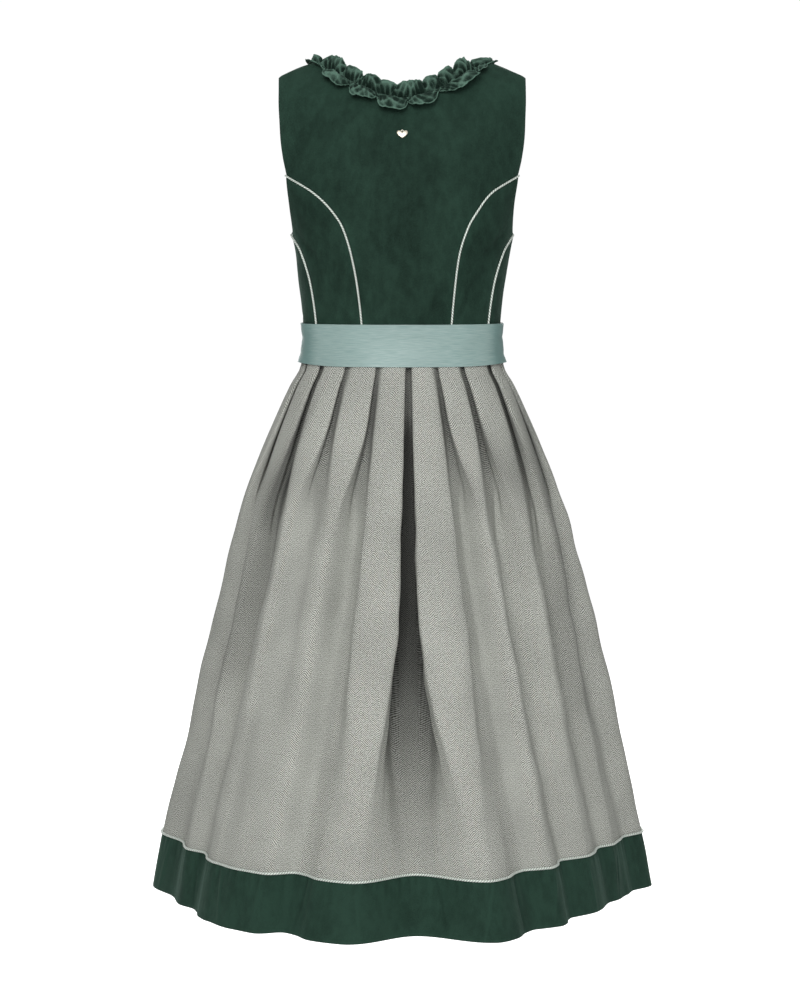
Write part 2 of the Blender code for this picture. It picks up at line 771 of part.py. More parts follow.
def pleat_half(oval, drop, pleats, shift, side_run, centre_crown):
    """(run, out) of the cloth from one centre out to the side, at one drop.

    A fold's points move from where they are pressed flat to where they hang open.
    """
    fall = (drop - WAIST_DROP) / (HEM_DROP - WAIST_DROP)
    edges = pleat_edges(oval, drop, pleats, shift)
    ends = edges[1:] + [blend(edges[-1], side_run, 2.0)]
    deepening = ease(fall, DEPTH_START, DEPTH_END)
    swelling = max(0.0, (drop - SWELL_DROP) / (HEM_DROP - SWELL_DROP))
    before = 2 * shift - edges[0]
    crown = pleats[0][5] * swelling
    points = []
    for pleat, edge, end in zip(pleats, edges, ends):
        name, waist_angle, _, overlap, wave, next_crown, open_drop = pleat
        pressed = PRESS_DEPTH(drop) * math.cos(math.radians(waist_angle))
        closed_drop = CENTRE_CLOSED_DROP if name == "centre" else PLEAT_CLOSED_DROP
        opening = ease(drop, closed_drop, open_drop)
        next_crown *= swelling
        depth = blend(PLEAT_DEPTH, wave, deepening) + pressed
        crown_share = 0.5
        if name == "centre":
            depth = CENTRE_DEPTH(drop)
            crown_share = centre_crown
        opened = open_fold(name, edge, before, end, shift, crown_share)
        for (_, of_overlap, past, closed_depth, share, _), (far, open_depth) in zip(FOLD_POINTS, opened):
            near = edge + of_overlap * overlap + past
            sink = blend(closed_depth, open_depth, opening)
            top = next_crown if share > 0 or name == "centre" else crown
            points.append((blend(near, far, opening), blend(top, -depth, sink)))
        points.append((blend(edge, end, blend(0.70, crown_share, opening)), next_crown))
        before = edge
        crown = next_crown
    points[-1] = (side_run, crown)
    return points


def skirt_half_ring(drop, front):
    """The cloth's line at one drop for the back or front half, from right side to left."""
    oval = skirt_oval(drop)
    if front:
        reach = oval.front_run - oval.side_run
        mirrored = FrontFirst(oval)
        left = pleat_half(mirrored, drop, FRONT_PLEATS, 0.0, reach, CENTRE_CROWN_LEFT)
        right = left
        middle = 0.0
    else:
        mirrored = oval
        middle = CENTRE_X(drop)
        side = oval.side_run
        left = pleat_half(oval, drop, BACK_PLEATS_LEFT, middle, side, CENTRE_CROWN_LEFT)
        right = pleat_half(oval, drop, BACK_PLEATS_RIGHT, -middle, side, CENTRE_CROWN_RIGHT)
    line = [(-run, out) for run, out in reversed(right)]
    line.append((middle, -CENTRE_DEPTH(drop)))
    line += left
    inset = SEAM_GAP / 2
    line[0] = (line[0][0] + inset, line[0][1])
    line[-1] = (line[-1][0] - inset, line[-1][1])
    return [mirrored.point(run, out) for run, out in line]


class FrontFirst:
    """A ring measured from the centre front instead, positive towards the wearer's left."""

    def __init__(self, oval):
        self.oval = oval

    def point(self, run, out):
        return self.oval.point(self.oval.front_run - run, out)

    def run_at_angle(self, degrees):
        return self.oval.front_run - self.oval.run_at_angle(180 - degrees)


def moved_out(line, distance, front):
    """A half ring moved away from the body, square to itself; its ends move straight sideways."""
    line = np.array(line)
    sign = -1.0 if front else 1.0
    along = np.diff(line, axis=0)
    along /= np.linalg.norm(along, axis=1)[:, None]
    moved = []
    for k in range(len(line)):
        before = along[max(k - 1, 0)]
        after = along[min(k, len(along) - 1)]
        square_before = np.array((-before[1], before[0]))
        square_after = np.array((-after[1], after[0]))
        middle = square_before + square_after
        middle /= max(np.linalg.norm(middle), 0.3)
        stretch = min(1 / max(float(middle @ square_before), 0.5), 1.4)
        moved.append(line[k] + sign * distance * stretch * middle)
    moved[0] = line[0] + np.array((-distance, 0.0))
    moved[-1] = line[-1] + np.array((distance, 0.0))
    return moved


def skirt_sheet(name, drops, front, wall, finish):
    outer = []
    inner = []
    for drop in drops:
        line = skirt_half_ring(drop, front)
        outer.append([(x, y, -drop) for x, y in moved_out(line, wall / 2, front)])
        inner.append([(x, y, -drop) for x, y in moved_out(line, -wall / 2, front)])
    return cloth_wall(name, outer, inner, finish)


def build_skirt():
    top = WAIST_DROP + SEAM_GAP / 2
    bottom = HEM_SEAM_DROP - SEAM_GAP / 2
    drops = (top, *SKIRT_ROW_DROPS, bottom)
    band_drops = (HEM_SEAM_DROP + SEAM_GAP / 2, HEM_DROP)
    for word, front in (("back", False), ("front", True)):
        skirt_sheet(f"skirt_{word}", drops, front, SKIRT_WALL, "skirt_herringbone")
        skirt_sheet(f"hem_band_{word}", band_drops, front, HEM_WALL, "green_velvet")


def build_hem_piping():
    """The cord over the seam between the skirt and the hem band, one for each half."""
    for word, front in (("back", False), ("front", True)):
        line = skirt_half_ring(HEM_SEAM_DROP, front)
        lift = HEM_WALL / 2 + SEAM_GAP + HEM_PIPING_RADIUS
        centres = [(x, y, -HEM_SEAM_DROP) for x, y in moved_out(line, lift, front)]
        ups = [(0.0, 0.0, 1.0)] * len(centres)
        sizes = (HEM_PIPING_RADIUS, HEM_PIPING_SIDES)
        tube(f"hem_piping_{word}", centres, ups, *sizes, "sage_cord", end_square=(0.0, 1.0, 0.0))


# ---------------------------------------------------------------- sash

def sash_ovals():
    """The ovals that the sash lies on, top to bottom, with the height of each."""
    upper = torso_oval(level_at_drop(SASH_TOP_DROP))
    waist = torso_oval(WAIST_LEVEL)
    lower = skirt_oval(SASH_BOTTOM_DROP)
    return ((upper, SASH_TOP_DROP, 0.0), (waist, WAIST_DROP, 0.0), (lower, SASH_BOTTOM_DROP, SKIRT_WALL / 2))


def build_sash():
    outer = []
    inner = []
    for oval, drop, cloth in sash_ovals():
        outer_row = []
        inner_row = []
        start = oval.front_run - SASH_LAP / 2
        length = 2 * oval.front_run + SASH_LAP
        for k in range(SASH_COLUMNS + 1):
            along = length * k / SASH_COLUMNS
            over = ease(along, length - SASH_LAP - 0.02, length - SASH_LAP - 0.002)
            out = cloth + SASH_LIFT + over * (SASH_WALL + SASH_LIFT)
            outer_row.append((*oval.point(start + along, out + SASH_WALL), -drop))
            inner_row.append((*oval.point(start + along, out), -drop))
        outer.append(outer_row)
        inner.append(inner_row)
    cloth_wall("sash", outer, inner, "sash_taffeta")


# ---------------------------------------------------------------- neck ruffle

def neckline():
    """Level and run of the neckline, from the left of the centre front round to the right."""
    stops = []
    steps = 48
    left_end = FRONT_LAP + 0.0035
    right_end = FRONT_LAP - 0.0045
    for k in range(steps + 1):
        x = blend(left_end, NECK_POINT_X, math.sin(math.pi / 2 * k / steps))
        level = front_neck_level(x)
        stops.append((level, torso_oval(level).run_at_x(x, front=True)))
    for k in range(1, 2 * steps):
        x = NECK_POINT_X * math.cos(math.pi * k / (2 * steps))
        level = back_neck_level(x)
        run = torso_oval(level).run_at_x(abs(x))
        stops.append((level, math.copysign(run, x)))
    for k in range(steps + 1):
        x = blend(NECK_POINT_X, -right_end, 1 - math.cos(math.pi / 2 * k / steps))
        level = front_neck_level(x)
        run = torso_oval(level).run_at_x(abs(x), front=True)
        stops.append((level, -run if x > 0 else run - 2 * torso_oval(level).front_run))
    return stops


def ruffle_stations():
    """Even steps along the neckline: point, outward, forward and up directions."""
    stops = neckline()
    points = np.array([torso_surface(level, run) for level, run in stops])
    lengths = np.concatenate(([0.0], np.cumsum(np.linalg.norm(np.diff(points, axis=0), axis=1))))
    outwards = np.array([torso_frame(max(level, 0.001), run)[1] for level, run in stops])
    count = RUFFLE_WAVES * RUFFLE_STEPS_PER_WAVE
    stations = []
    for k in range(count + 1):
        at = lengths[-1] * k / count
        point = np.array([np.interp(at, lengths, points[:, c]) for c in range(3)])
        outward = np.array([np.interp(at, lengths, outwards[:, c]) for c in range(3)])
        low = max(at - 0.006, 0.0)
        high = min(at + 0.006, lengths[-1])
        forward = np.array([np.interp(high, lengths, points[:, c]) for c in range(3)])
        forward -= np.array([np.interp(low, lengths, points[:, c]) for c in range(3)])
        forward /= np.linalg.norm(forward)
        outward -= (outward @ forward) * forward
        outward /= np.linalg.norm(outward)
        stations.append((point, outward, forward, np.cross(outward, forward)))
    return stations, lengths[-1]


def build_ruffle():
    """A strip gathered along its middle: both free edges stand out in waves."""
    stations, length = ruffle_stations()
    pitch = length / RUFFLE_WAVES
    outer = []
    for k, (point, outward, forward, up) in enumerate(stations):
        turn = 2 * math.pi * k / RUFFLE_STEPS_PER_WAVE
        wave = 0.5 - 0.5 * math.cos(turn)
        counter = 0.5 - 0.5 * math.cos(turn + 2.1)
        slip = 0.16 * pitch * math.sin(turn)
        rising = ease(abs(point[0]), RUFFLE_RISE_START, RUFFLE_RISE_END)
        angle = RUFFLE_RISE_ANGLE * rising
        below = (RUFFLE_LOWER_WIDTH - 0.002 * wave) * (1 - 0.68 * rising)
        lower = point - below * up + (0.0030 + 0.0085 * wave * (1 - 0.6 * rising)) * outward
        middle = point + (0.0020 + 0.0016 * wave) * outward
        above = (RUFFLE_UPPER_WIDTH - 0.002 * counter) * (1 + 0.08 * rising)
        upper = point + above * (math.cos(angle) * up + math.sin(angle) * outward)
        upper = upper + (0.0040 + 0.0080 * counter) * outward * (1 - 0.5 * rising)
        outer.append((upper + slip * forward, middle, lower - slip * forward))
    outer = np.array(outer)
    square = np.zeros_like(outer)
    for k in range(len(outer)):
        along = outer[min(k + 1, len(outer) - 1)] - outer[max(k - 1, 0)]
        for c in range(3):
            across = outer[k, min(c + 1, 2)] - outer[k, max(c - 1, 0)]
            normal = np.cross(across, along[c])
            square[k, c] = normal / np.linalg.norm(normal)
            if square[k, c] @ stations[k][1] < 0:
                square[k, c] = -square[k, c]
    inner = outer - RUFFLE_WALL * square
    cloth_wall("neck_ruffle", outer, inner, "ruffle_velvet")


# ---------------------------------------------------------------- buttons and charm

def build_buttons():
    profile = ((0.0040, 0.0), (BUTTON_RADIUS, 0.0008), (BUTTON_RADIUS, 0.0016), (0.0036, 0.0028))
    levels = two_zone_levels(FRONT_NECK_LEVEL, FRONT_JOIN_LEVEL)
    rows = [torso_surface(level, torso_oval(level).front_run) for level in levels]
    for k in range(BUTTON_COUNT):
        drop = blend(BUTTON_FIRST_DROP, BUTTON_LAST_DROP, k / (BUTTON_COUNT - 1))
        below = next(r for r, row in enumerate(rows) if row[2] < -drop)
        run_down = rows[below] - rows[below - 1]
        point = rows[below - 1] + run_down * ((-drop - rows[below - 1][2]) / run_down[2])
        outward = np.array((0.0, run_down[2], -run_down[1])) / np.linalg.norm(run_down)
        spot = point + BUTTON_LIFT * outward
        turned(f"button_{k + 1}", profile, BUTTON_SIDES, spot, outward, "green_thread")


def heart_outline(count):
    """A plain rounded heart, one unit wide each way from its middle, top at 1, tip at -1."""
    points = []
    for k in range(count):
        turn = 2 * math.pi * k / count
        x = math.sin(turn) ** 3
        y = (13 * math.cos(turn) - 5 * math.cos(2 * turn) - 2 * math.cos(3 * turn) - math.cos(4 * turn))
        points.append((x, (y + 2.5) / 14.5))
    return points


def build_charm():
    """A small heart that hangs by its own ring from a sewn thread knot."""
    level = level_at_drop(CHARM_DROP)
    point, outward, along, up = torso_frame(level, 0.0)
    knot = ((TACK_RADIUS, SEAM_GAP), (TACK_RADIUS, 0.0023), (TACK_HEAD_RADIUS, 0.0023), (TACK_RADIUS, 0.0031))
    turned("charm_knot", knot, 8, point, outward, "green_thread")
    outline = heart_outline(20)
    heart_middle = point - (CHARM_RING_RADIUS + CHARM_HEIGHT * CHARM_CLEFT) * up
    layers = ((0.86, 0.0005), (1.0, 0.0009), (1.0, 0.0015), (0.62, 0.0021))
    vertices = []
    for scale, height in layers:
        for x, y in outline:
            spot = heart_middle + scale * CHARM_HALF_WIDTH * x * along
            spot = spot + scale * CHARM_HEIGHT * 0.5 * y * up + height * outward
            vertices.append(spot)
    count = len(outline)
    low = len(vertices)
    vertices.append(heart_middle - 0.1 * CHARM_HEIGHT * up + 0.0005 * outward)
    vertices.append(heart_middle - 0.1 * CHARM_HEIGHT * up + 0.0023 * outward)
    faces = []
    for k in range(len(layers) - 1):
        for s in range(count):
            a = k * count + s
            b = k * count + (s + 1) % count
            faces += [(a, b, b + count), (a, b + count, a + count)]
    last = (len(layers) - 1) * count
    for s in range(count):
        faces.append((low, (s + 1) % count, s))
        faces.append((low + 1, last + s, last + (s + 1) % count))
    charm = new_object("charm", vertices, faces, "pale_gold")
    ring = build_charm_ring(point + 0.00125 * outward, outward, along, up)
    join = charm.modifiers.new("ring", "BOOLEAN")
    join.operation = "UNION"
    join.object = ring
    return charm


def build_charm_ring(centre, outward, along, up):
    """The ring that the heart hangs by, joined into its top."""
    turns = 14
    sides = 6
    vertices = []
    for k in range(turns):
        turn = 2 * math.pi * k / turns
        spoke = math.cos(turn) * along + math.sin(turn) * up
        for s in range(sides):
            roll = 2 * math.pi * s / sides
            reach = CHARM_RING_RADIUS + CHARM_WIRE_RADIUS * math.cos(roll)
            vertices.append(centre + reach * spoke + CHARM_WIRE_RADIUS * math.sin(roll) * outward)
    faces = []
    for k in range(turns):
        for s in range(sides):
            a = k * sides + s
            b = k * sides + (s + 1) % sides
            c = (k + 1) % turns * sides + s
            d = (k + 1) % turns * sides + (s + 1) % sides
            faces += [(a, c, d), (a, d, b)]
    ring = new_object("charm_ring_shape", vertices, faces, "pale_gold")
    ring.hide_render = True
    ring.display_type = "WIRE"
    return ring


# ---------------------------------------------------------------- the whole dress

def main():
    for old in list(bpy.data.objects):
        bpy.data.objects.remove(old, do_unlink=True)
    build_bodice()
    build_bodice_piping()
    build_skirt()
    build_hem_piping()
    build_sash()
    build_ruffle()
    build_buttons()
    build_charm()


main()
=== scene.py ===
"""The looks of a sleeveless dirndl dress: velvet bodice with a gathered neck ruffle, taffeta
sash, pleated herringbone skirt and velvet hem band, with cord piping on its seams.

Units are metres. +Z is up, the wearer faces -Y and the wearer's left is +X. A level ring of
the dress is an oval measured along its edge from the centre back: "run" is the distance along
it, positive towards the wearer's left, and "out" is the distance outwards from it. A "drop" is
a depth below the origin, and a "level" is a distance down the torso's profile from the shoulder.
Every sheet of cloth is a grid of points, rows from its top down and columns from the wearer's
right, with a flat map in metres of cloth for its weave.
"""

import functools
import math

import bpy
import numpy as np
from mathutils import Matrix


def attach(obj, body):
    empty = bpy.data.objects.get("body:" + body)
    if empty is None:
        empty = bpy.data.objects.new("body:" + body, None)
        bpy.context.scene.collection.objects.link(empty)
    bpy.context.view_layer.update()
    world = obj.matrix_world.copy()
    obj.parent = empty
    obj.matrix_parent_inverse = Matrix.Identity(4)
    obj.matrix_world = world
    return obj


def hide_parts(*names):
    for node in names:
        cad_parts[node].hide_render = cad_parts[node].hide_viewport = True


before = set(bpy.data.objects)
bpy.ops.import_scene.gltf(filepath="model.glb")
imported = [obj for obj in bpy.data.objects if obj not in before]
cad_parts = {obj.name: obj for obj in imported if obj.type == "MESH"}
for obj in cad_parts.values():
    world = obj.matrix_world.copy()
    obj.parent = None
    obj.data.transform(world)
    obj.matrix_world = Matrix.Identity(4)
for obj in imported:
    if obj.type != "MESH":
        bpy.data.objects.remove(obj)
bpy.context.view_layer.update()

# ---------------------------------------------------------------- camera

CAMERA_PLACE = (0.0028, 3.4, -0.2217)
CAMERA_TILT = 0.0941
FILM_HEIGHT = 24.0
FOCAL_LENGTH = 64.5


def hang_camera():
    """The camera behind the dress, a little below its middle."""
    data = bpy.data.cameras.new("camera")
    data.sensor_fit = "VERTICAL"
    data.sensor_height = FILM_HEIGHT
    data.lens = FOCAL_LENGTH
    data.clip_end = 60.0
    camera = bpy.data.objects.new("camera", data)
    camera.location = CAMERA_PLACE
    camera.rotation_euler = (math.pi / 2 - CAMERA_TILT, 0.0, math.pi)
    bpy.context.collection.objects.link(camera)
    bpy.context.scene.camera = camera


hang_camera()

# ---------------------------------------------------------------- driving sizes

SEAM_GAP = 0.0003
SIDE_GAP = 0.00004
WAIST_DROP = 0.345
HEM_SEAM_DROP = 0.969
HEM_DROP = 1.041
SASH_TOP_DROP = 0.3180
SASH_BOTTOM_DROP = 0.3700
UNDERARM_DROP = 0.207
BACK_JOIN_DROP = 0.1343
FRONT_JOIN_DROP = 0.150
FLOOR_HEIGHT = -1.38

SHOULDER_TIP_X = 0.1546
NECK_POINT_X = 0.113
SHOULDER_FADE = 0.09
BACK_NECK_LEVEL = 0.072
BACK_NECK_ROUNDNESS = 1.7
FRONT_NECK_LEVEL = 0.160
FRONT_NECK_ROUNDNESS = 2.6

BODICE_WALL = 0.0018
SKIRT_WALL = 0.0010
HEM_WALL = 0.0014
SASH_WALL = 0.0009
RUFFLE_WALL = 0.0009

FRONT_LAP = 0.010
LAP_RECESS = 0.0024
LAP_RAMP_START = 0.0125
LAP_RAMP_END = 0.027

# the torso, a row per level: drop, half width, depth behind and in front of the side line
TORSO = (
    (0.0, 0.1615, 0.0, 0.0), (0.0015, 0.1617, 0.012, 0.012), (0.006, 0.162, 0.0225, 0.0235),
    (0.022, 0.163, 0.044, 0.046), (0.05, 0.1655, 0.062, 0.069), (0.09, 0.1675, 0.078, 0.094),
    (0.13, 0.163, 0.088, 0.118), (0.17, 0.1492, 0.092, 0.134), (0.207, 0.1394, 0.0915, 0.137),
    (0.247, 0.1324, 0.0885, 0.124), (0.285, 0.1277, 0.085, 0.107), (0.3205, 0.1243, 0.0825, 0.096),
    (0.345, 0.1237, 0.082, 0.094),
)
TORSO_SQUARENESS = 2.4

# the skirt's ring, a row per level: drop, half width, back depth, front depth
SKIRT = (
    (0.345, 0.1232, 0.0812, 0.0932), (0.374, 0.1285, 0.087, 0.0985), (0.395, 0.1405, 0.0985, 0.108),
    (0.43, 0.157, 0.113, 0.1215), (0.475, 0.1765, 0.131, 0.139), (0.53, 0.198, 0.151, 0.1575),
    (0.6, 0.219, 0.173, 0.178), (0.68, 0.2395, 0.196, 0.198), (0.775, 0.262, 0.221, 0.219),
    (0.87, 0.284, 0.245, 0.24), (0.969, 0.307, 0.27, 0.262), (1.041, 0.321, 0.286, 0.276),
)
SKIRT_SQUARENESS = 2.2

# the shoulder seam, from the neck out: distance from the centre line, height
SHOULDER_LINE = (
    (0.113, 0.0062), (0.127, 0.0012), (0.14, -0.005), (0.15, -0.011), (0.162, -0.02),
)

# the back princess seams: drop, distance of the left one and of the right one from the centre
BACK_PRINCESS = (
    (0.1343, 0.1443, 0.1443), (0.1573, 0.1077, 0.1084), (0.1775, 0.0871, 0.093),
    (0.1988, 0.0732, 0.0806), (0.2337, 0.0623, 0.0697), (0.275, 0.0547, 0.0644),
    (0.3212, 0.0498, 0.0604), (0.345, 0.0486, 0.059),
)
# other seams and edges of the bodice: drop, distance from the centre line
SIDE_SEAM = (
    (0.207, 0.1384), (0.229, 0.1253), (0.273, 0.1124), (0.322, 0.106), (0.345, 0.1046),
)
FRONT_PRINCESS = (
    (0.15, 0.1271), (0.165, 0.1064), (0.19, 0.0906), (0.23, 0.0778), (0.285, 0.0611), (0.345, 0.0512),
)
BACK_ARMHOLE = (
    (0.0, 0.1546), (0.04, 0.1543), (0.074, 0.1526), (0.113, 0.1489), (0.1343, 0.1443),
)
FRONT_ARMHOLE = (
    (0.0, 0.1546), (0.03, 0.1487), (0.07, 0.1379), (0.11, 0.131), (0.15, 0.1271),
)

# ---------------------------------------------------------------- finishes

def node(tree, kind, inputs=None, **settings):
    """One shader node, its settings first and then its inputs: numbers, colours or links."""
    made = tree.nodes.new("ShaderNode" + kind)
    for key, value in settings.items():
        setattr(made, key, value)
    for key, value in (inputs or {}).items():
        if isinstance(value, bpy.types.NodeSocket):
            tree.links.new(value, made.inputs[key])
        else:
            made.inputs[key].default_value = value
    return made


def maths(tree, operation, *values):
    return node(tree, "Math", dict(enumerate(values)), operation=operation).outputs[0]


def total(tree, *values):
    return functools.reduce(functools.partial(maths, tree, "ADD"), values)


def times(tree, value, factor):
    return maths(tree, "MULTIPLY", value, factor)


def sine_wave(tree, value, pitch):
    """A wave from 0 to 1, a pitch long."""
    sine = maths(tree, "SINE", times(tree, value, 2 * math.pi / pitch))
    return maths(tree, "MULTIPLY_ADD", sine, 0.5, 0.5)


def noise(tree, place, scale, detail):
    return node(tree, "TexNoise", {"Vector": place, "Scale": scale, "Detail": detail}).outputs[0]


def stretch(tree, place, *scale):
    return node(tree, "Mapping", {"Vector": place, "Scale": scale}).outputs[0]


def rgb(red, green, blue):
    return (red, green, blue, 1.0)


def tint(tree, share, low, high):
    """A colour between two others, by a share that is held between 0 and 1."""
    return node(tree, "Mix", {0: share, 6: rgb(*low), 7: rgb(*high)}, data_type="RGBA").outputs[2]


def shaded(tree, colour, value):
    return node(tree, "HueSaturation", {"Value": value, "Color": colour}).outputs[0]


def spread(tree, value, low, high):
    """The value's range from low to high opened out to 0 to 1."""
    sockets = {0: value, 1: low, 2: high, 3: 0.0, 4: 1.0}
    return node(tree, "MapRange", sockets, clamp=True).outputs[0]


def effect_group(name, **inputs):
    """A group that gives a colour and a height: its tree, its inputs and its output sockets."""
    tree = bpy.data.node_groups.new(name, "ShaderNodeTree")
    for title, kind in inputs.items():
        tree.interface.new_socket(title, in_out="INPUT", socket_type="NodeSocket" + kind)
    for title, kind in (("Colour", "Color"), ("Height", "Float")):
        tree.interface.new_socket(title, in_out="OUTPUT", socket_type="NodeSocket" + kind)
    return tree, tree.nodes.new("NodeGroupInput").outputs, tree.nodes.new("NodeGroupOutput").inputs


# the velvet's nap, from broad clouds to single tufts: noise scale and detail, the part of its
# range that is opened out, strength
NAP_LAYERS = (
    (26.0, 3.0, 0.35, 0.68, 0.45),
    (110.0, 4.0, 0.38, 0.66, 0.40),
    (1100.0, 2.0, 0.30, 0.72, 0.45),
)
BRUSHED_STRETCH = (1.0, 1.0, 0.55)


def build_nap():
    """Velvet's short pile: clouds where it is brushed one way or the other, and fine tufts."""
    inputs = {"Place": "Vector", "Deep": "Color", "Raised": "Color", "WearAndPaintedLight": "Float", "Cloudiness": "Float"}
    tree, source, result = effect_group("brushed nap", **inputs)
    brushed = stretch(tree, source["Place"], *BRUSHED_STRETCH)
    layers = []
    for place, (scale, detail, low, high, strength) in zip((brushed, brushed, source["Place"]), NAP_LAYERS):
        opened = spread(tree, noise(tree, place, scale, detail), low, high)
        layers.append(times(tree, opened, strength))
    clouds, patches, tufts = layers
    cloudy = times(tree, total(tree, clouds, patches), source["Cloudiness"])
    share = total(tree, cloudy, tufts, source["WearAndPaintedLight"])
    mix = node(tree, "Mix", {0: share, 6: source["Deep"], 7: source["Raised"]}, data_type="RGBA")
    tree.links.new(mix.outputs[2], result["Colour"])
    tree.links.new(total(tree, tufts, patches), result["Height"])
    return tree


def build_fibres():
    """Loose fibres and uneven threads: a small change of tone and height."""
    inputs = {"Place": "Vector", "Fineness": "Float", "Colour": "Color", "Strength": "Float"}
    tree, source, result = effect_group("loose fibres", **inputs)
    value = spread(tree, noise(tree, source["Place"], source["Fineness"], 3.0), 0.3, 0.7)
    change = times(tree, maths(tree, "SUBTRACT", value, 0.5), source["Strength"])
    tree.links.new(shaded(tree, source["Colour"], total(tree, change, 1.0)), result["Colour"])
    tree.links.new(value, result["Height"])
    return tree


NAP = build_nap()
FIBRES = build_fibres()


def fibrous(tree, place, fineness, colour, strength):
    inputs = {"Place": place, "Fineness": fineness, "Colour": colour, "Strength": strength}
    return node(tree, "Group", inputs, node_tree=FIBRES).outputs


def new_finish(name, roughness, specular=0.5, metallic=0.0, sheen=(0.0, 0.5, 1.0, 1.0, 1.0)):
    """A material and its shader's inputs; sheen is its weight, its roughness and its colour."""
    made = bpy.data.materials.new(name)
    made.use_nodes = True
    shader = made.node_tree.nodes["Principled BSDF"].inputs
    shader["Roughness"].default_value = roughness
    shader["Specular IOR Level"].default_value = specular
    shader["Metallic"].default_value = metallic
    shader["Sheen Weight"].default_value = sheen[0]
    shader["Sheen Roughness"].default_value = sheen[1]
    shader["Sheen Tint"].default_value = rgb(*sheen[2:])
    return made, made.node_tree, shader


def join_shader(tree, shader, colour, height, depth, strength):
    """Gives the shader its colour, and its height as bump of a depth in metres."""
    bump = node(tree, "Bump", {"Height": height, "Distance": depth, "Strength": strength})
    tree.links.new(bump.outputs[0], shader["Normal"])
    tree.links.new(colour, shader["Base Color"])


def wear_and_light_mark(tree, amount):
    """The mark painted on the piece, times an amount: real wear, painted light and painted shade, as each
    piece sets them.
    """
    mark = node(tree, "Attribute", attribute_name="wear_and_painted_light").outputs["Fac"]
    return maths(tree, "MULTIPLY", mark, amount)


def velvet(name, deep, raised, sheen, cloudiness, wear_and_painted_light):
    """Velvet: deep where its nap lies flat and where shade is painted, paler where it is raised or worn and
    where light is painted.
    """
    made, tree, shader = new_finish(name, 0.85, 0.15, sheen=(sheen, 0.38, 0.42, 0.66, 0.55))
    inputs = {
        "Place": node(tree, "TexCoord").outputs["Object"],
        "Deep": rgb(*deep),
        "Raised": rgb(*raised),
        "WearAndPaintedLight": wear_and_light_mark(tree, wear_and_painted_light),
        "Cloudiness": cloudiness,
    }
    nap = node(tree, "Group", inputs, node_tree=NAP).outputs
    join_shader(tree, shader, nap["Colour"], nap["Height"], 0.0006, 0.6)
    return made


STRIPE_WIDTH = 0.0068
STRIPE_DRIFT = 0.006
DIAGONAL_PITCH = 0.0026
RIB_PITCH = 0.0013
RIB_SHARE = 0.30
FLECK_SHARE = 1.9
FOLD_SHADE = 0.86


def herringbone():
    """Silver and dark olive threads in slanting ribs that turn back at every stripe."""
    made, tree, shader = new_finish("skirt_herringbone", 0.82, 0.25, sheen=(0.03, 0.4, 0.8, 0.82, 0.76))
    flat = node(tree, "UVMap").outputs[0]
    across, down, _ = node(tree, "SeparateXYZ", {0: flat}).outputs
    shifted = maths(tree, "MULTIPLY_ADD", noise(tree, flat, 60.0, 1.0), STRIPE_DRIFT, across)
    slanted = total(tree, down, maths(tree, "PINGPONG", shifted, STRIPE_WIDTH))
    ribs = sine_wave(tree, slanted, DIAGONAL_PITCH)
    rows = sine_wave(tree, across, RIB_PITCH)
    uneven = maths(tree, "MULTIPLY_ADD", noise(tree, flat, 620.0, 2.0), FLECK_SHARE, -FLECK_SHARE / 2)
    rib_tone = maths(tree, "MULTIPLY_ADD", rows, RIB_SHARE, -RIB_SHARE / 2)
    share = total(tree, rib_tone, uneven, spread(tree, ribs, 0.12, 0.88))
    colour = tint(tree, share, (0.066, 0.069, 0.056), (0.650, 0.665, 0.612))
    fibres = fibrous(tree, flat, 14.0, colour, 0.16)
    # painted shade: the weave is darkened where the skirt's mark of painted shade is set, deep in its folds
    lit = maths(tree, "SUBTRACT", 1.0, wear_and_light_mark(tree, FOLD_SHADE))
    height = maths(tree, "MULTIPLY_ADD", rows, 0.3, ribs)
    join_shader(tree, shader, shaded(tree, fibres["Colour"], lit), height, 0.0004, 0.5)
    return made


SIDE_SHADE = 0.75


def taffeta():
    """A crisp band with fine slubs along its length, with painted shade round its sides."""
    made, tree, shader = new_finish("sash_taffeta", 0.44, 0.45, sheen=(0.15, 0.25, 0.62, 0.85, 0.82))
    flat = node(tree, "UVMap").outputs[0]
    threads = spread(tree, noise(tree, stretch(tree, flat, 60.0, 1150.0, 1.0), 1.0, 2.0), 0.30, 0.72)
    bands = noise(tree, stretch(tree, flat, 20.0, 360.0, 1.0), 1.0, 2.0)
    share = total(tree, times(tree, threads, 0.55), times(tree, bands, 0.25), 0.16)
    # painted shade: darker where the band turns round the sides
    share = maths(tree, "SUBTRACT", share, wear_and_light_mark(tree, SIDE_SHADE))
    colour = tint(tree, share, (0.160, 0.272, 0.256), (0.345, 0.450, 0.428))
    fibres = fibrous(tree, flat, 18.0, colour, 0.10)
    join_shader(tree, shader, fibres["Colour"], threads, 0.00025, 0.6)
    return made


def strands(name, roughness, metallic, sheen, hollow, raised, fineness, unevenness, bump):
    """Cord or thread with loose fibres: a painted highlight where a strand stands out and painted shade
    between the strands.
    """
    made, tree, shader = new_finish(name, roughness, metallic=metallic, sheen=(sheen, 0.5, 1.0, 1.0, 1.0))
    place = node(tree, "TexCoord").outputs["Object"]
    colour = tint(tree, spread(tree, wear_and_light_mark(tree, 1.0), 0.1, 0.9), hollow, raised)
    fibres = fibrous(tree, place, fineness, colour, unevenness)
    join_shader(tree, shader, fibres["Colour"], fibres["Height"], 0.0002, bump)
    return made


def gold_finish():
    """Polished pale gold, a little rubbed."""
    made, tree, shader = new_finish("pale_gold", 0.26, metallic=0.85)
    rubbed = noise(tree, node(tree, "TexCoord").outputs["Object"], 900.0, 4.0)
    colour = tint(tree, rubbed, (0.94, 0.84, 0.65), (0.99, 0.95, 0.83))
    join_shader(tree, shader, colour, rubbed, 0.00005, 0.3)
    tree.links.new(maths(tree, "MULTIPLY_ADD", rubbed, 0.22, 0.26), shader["Roughness"])
    return made


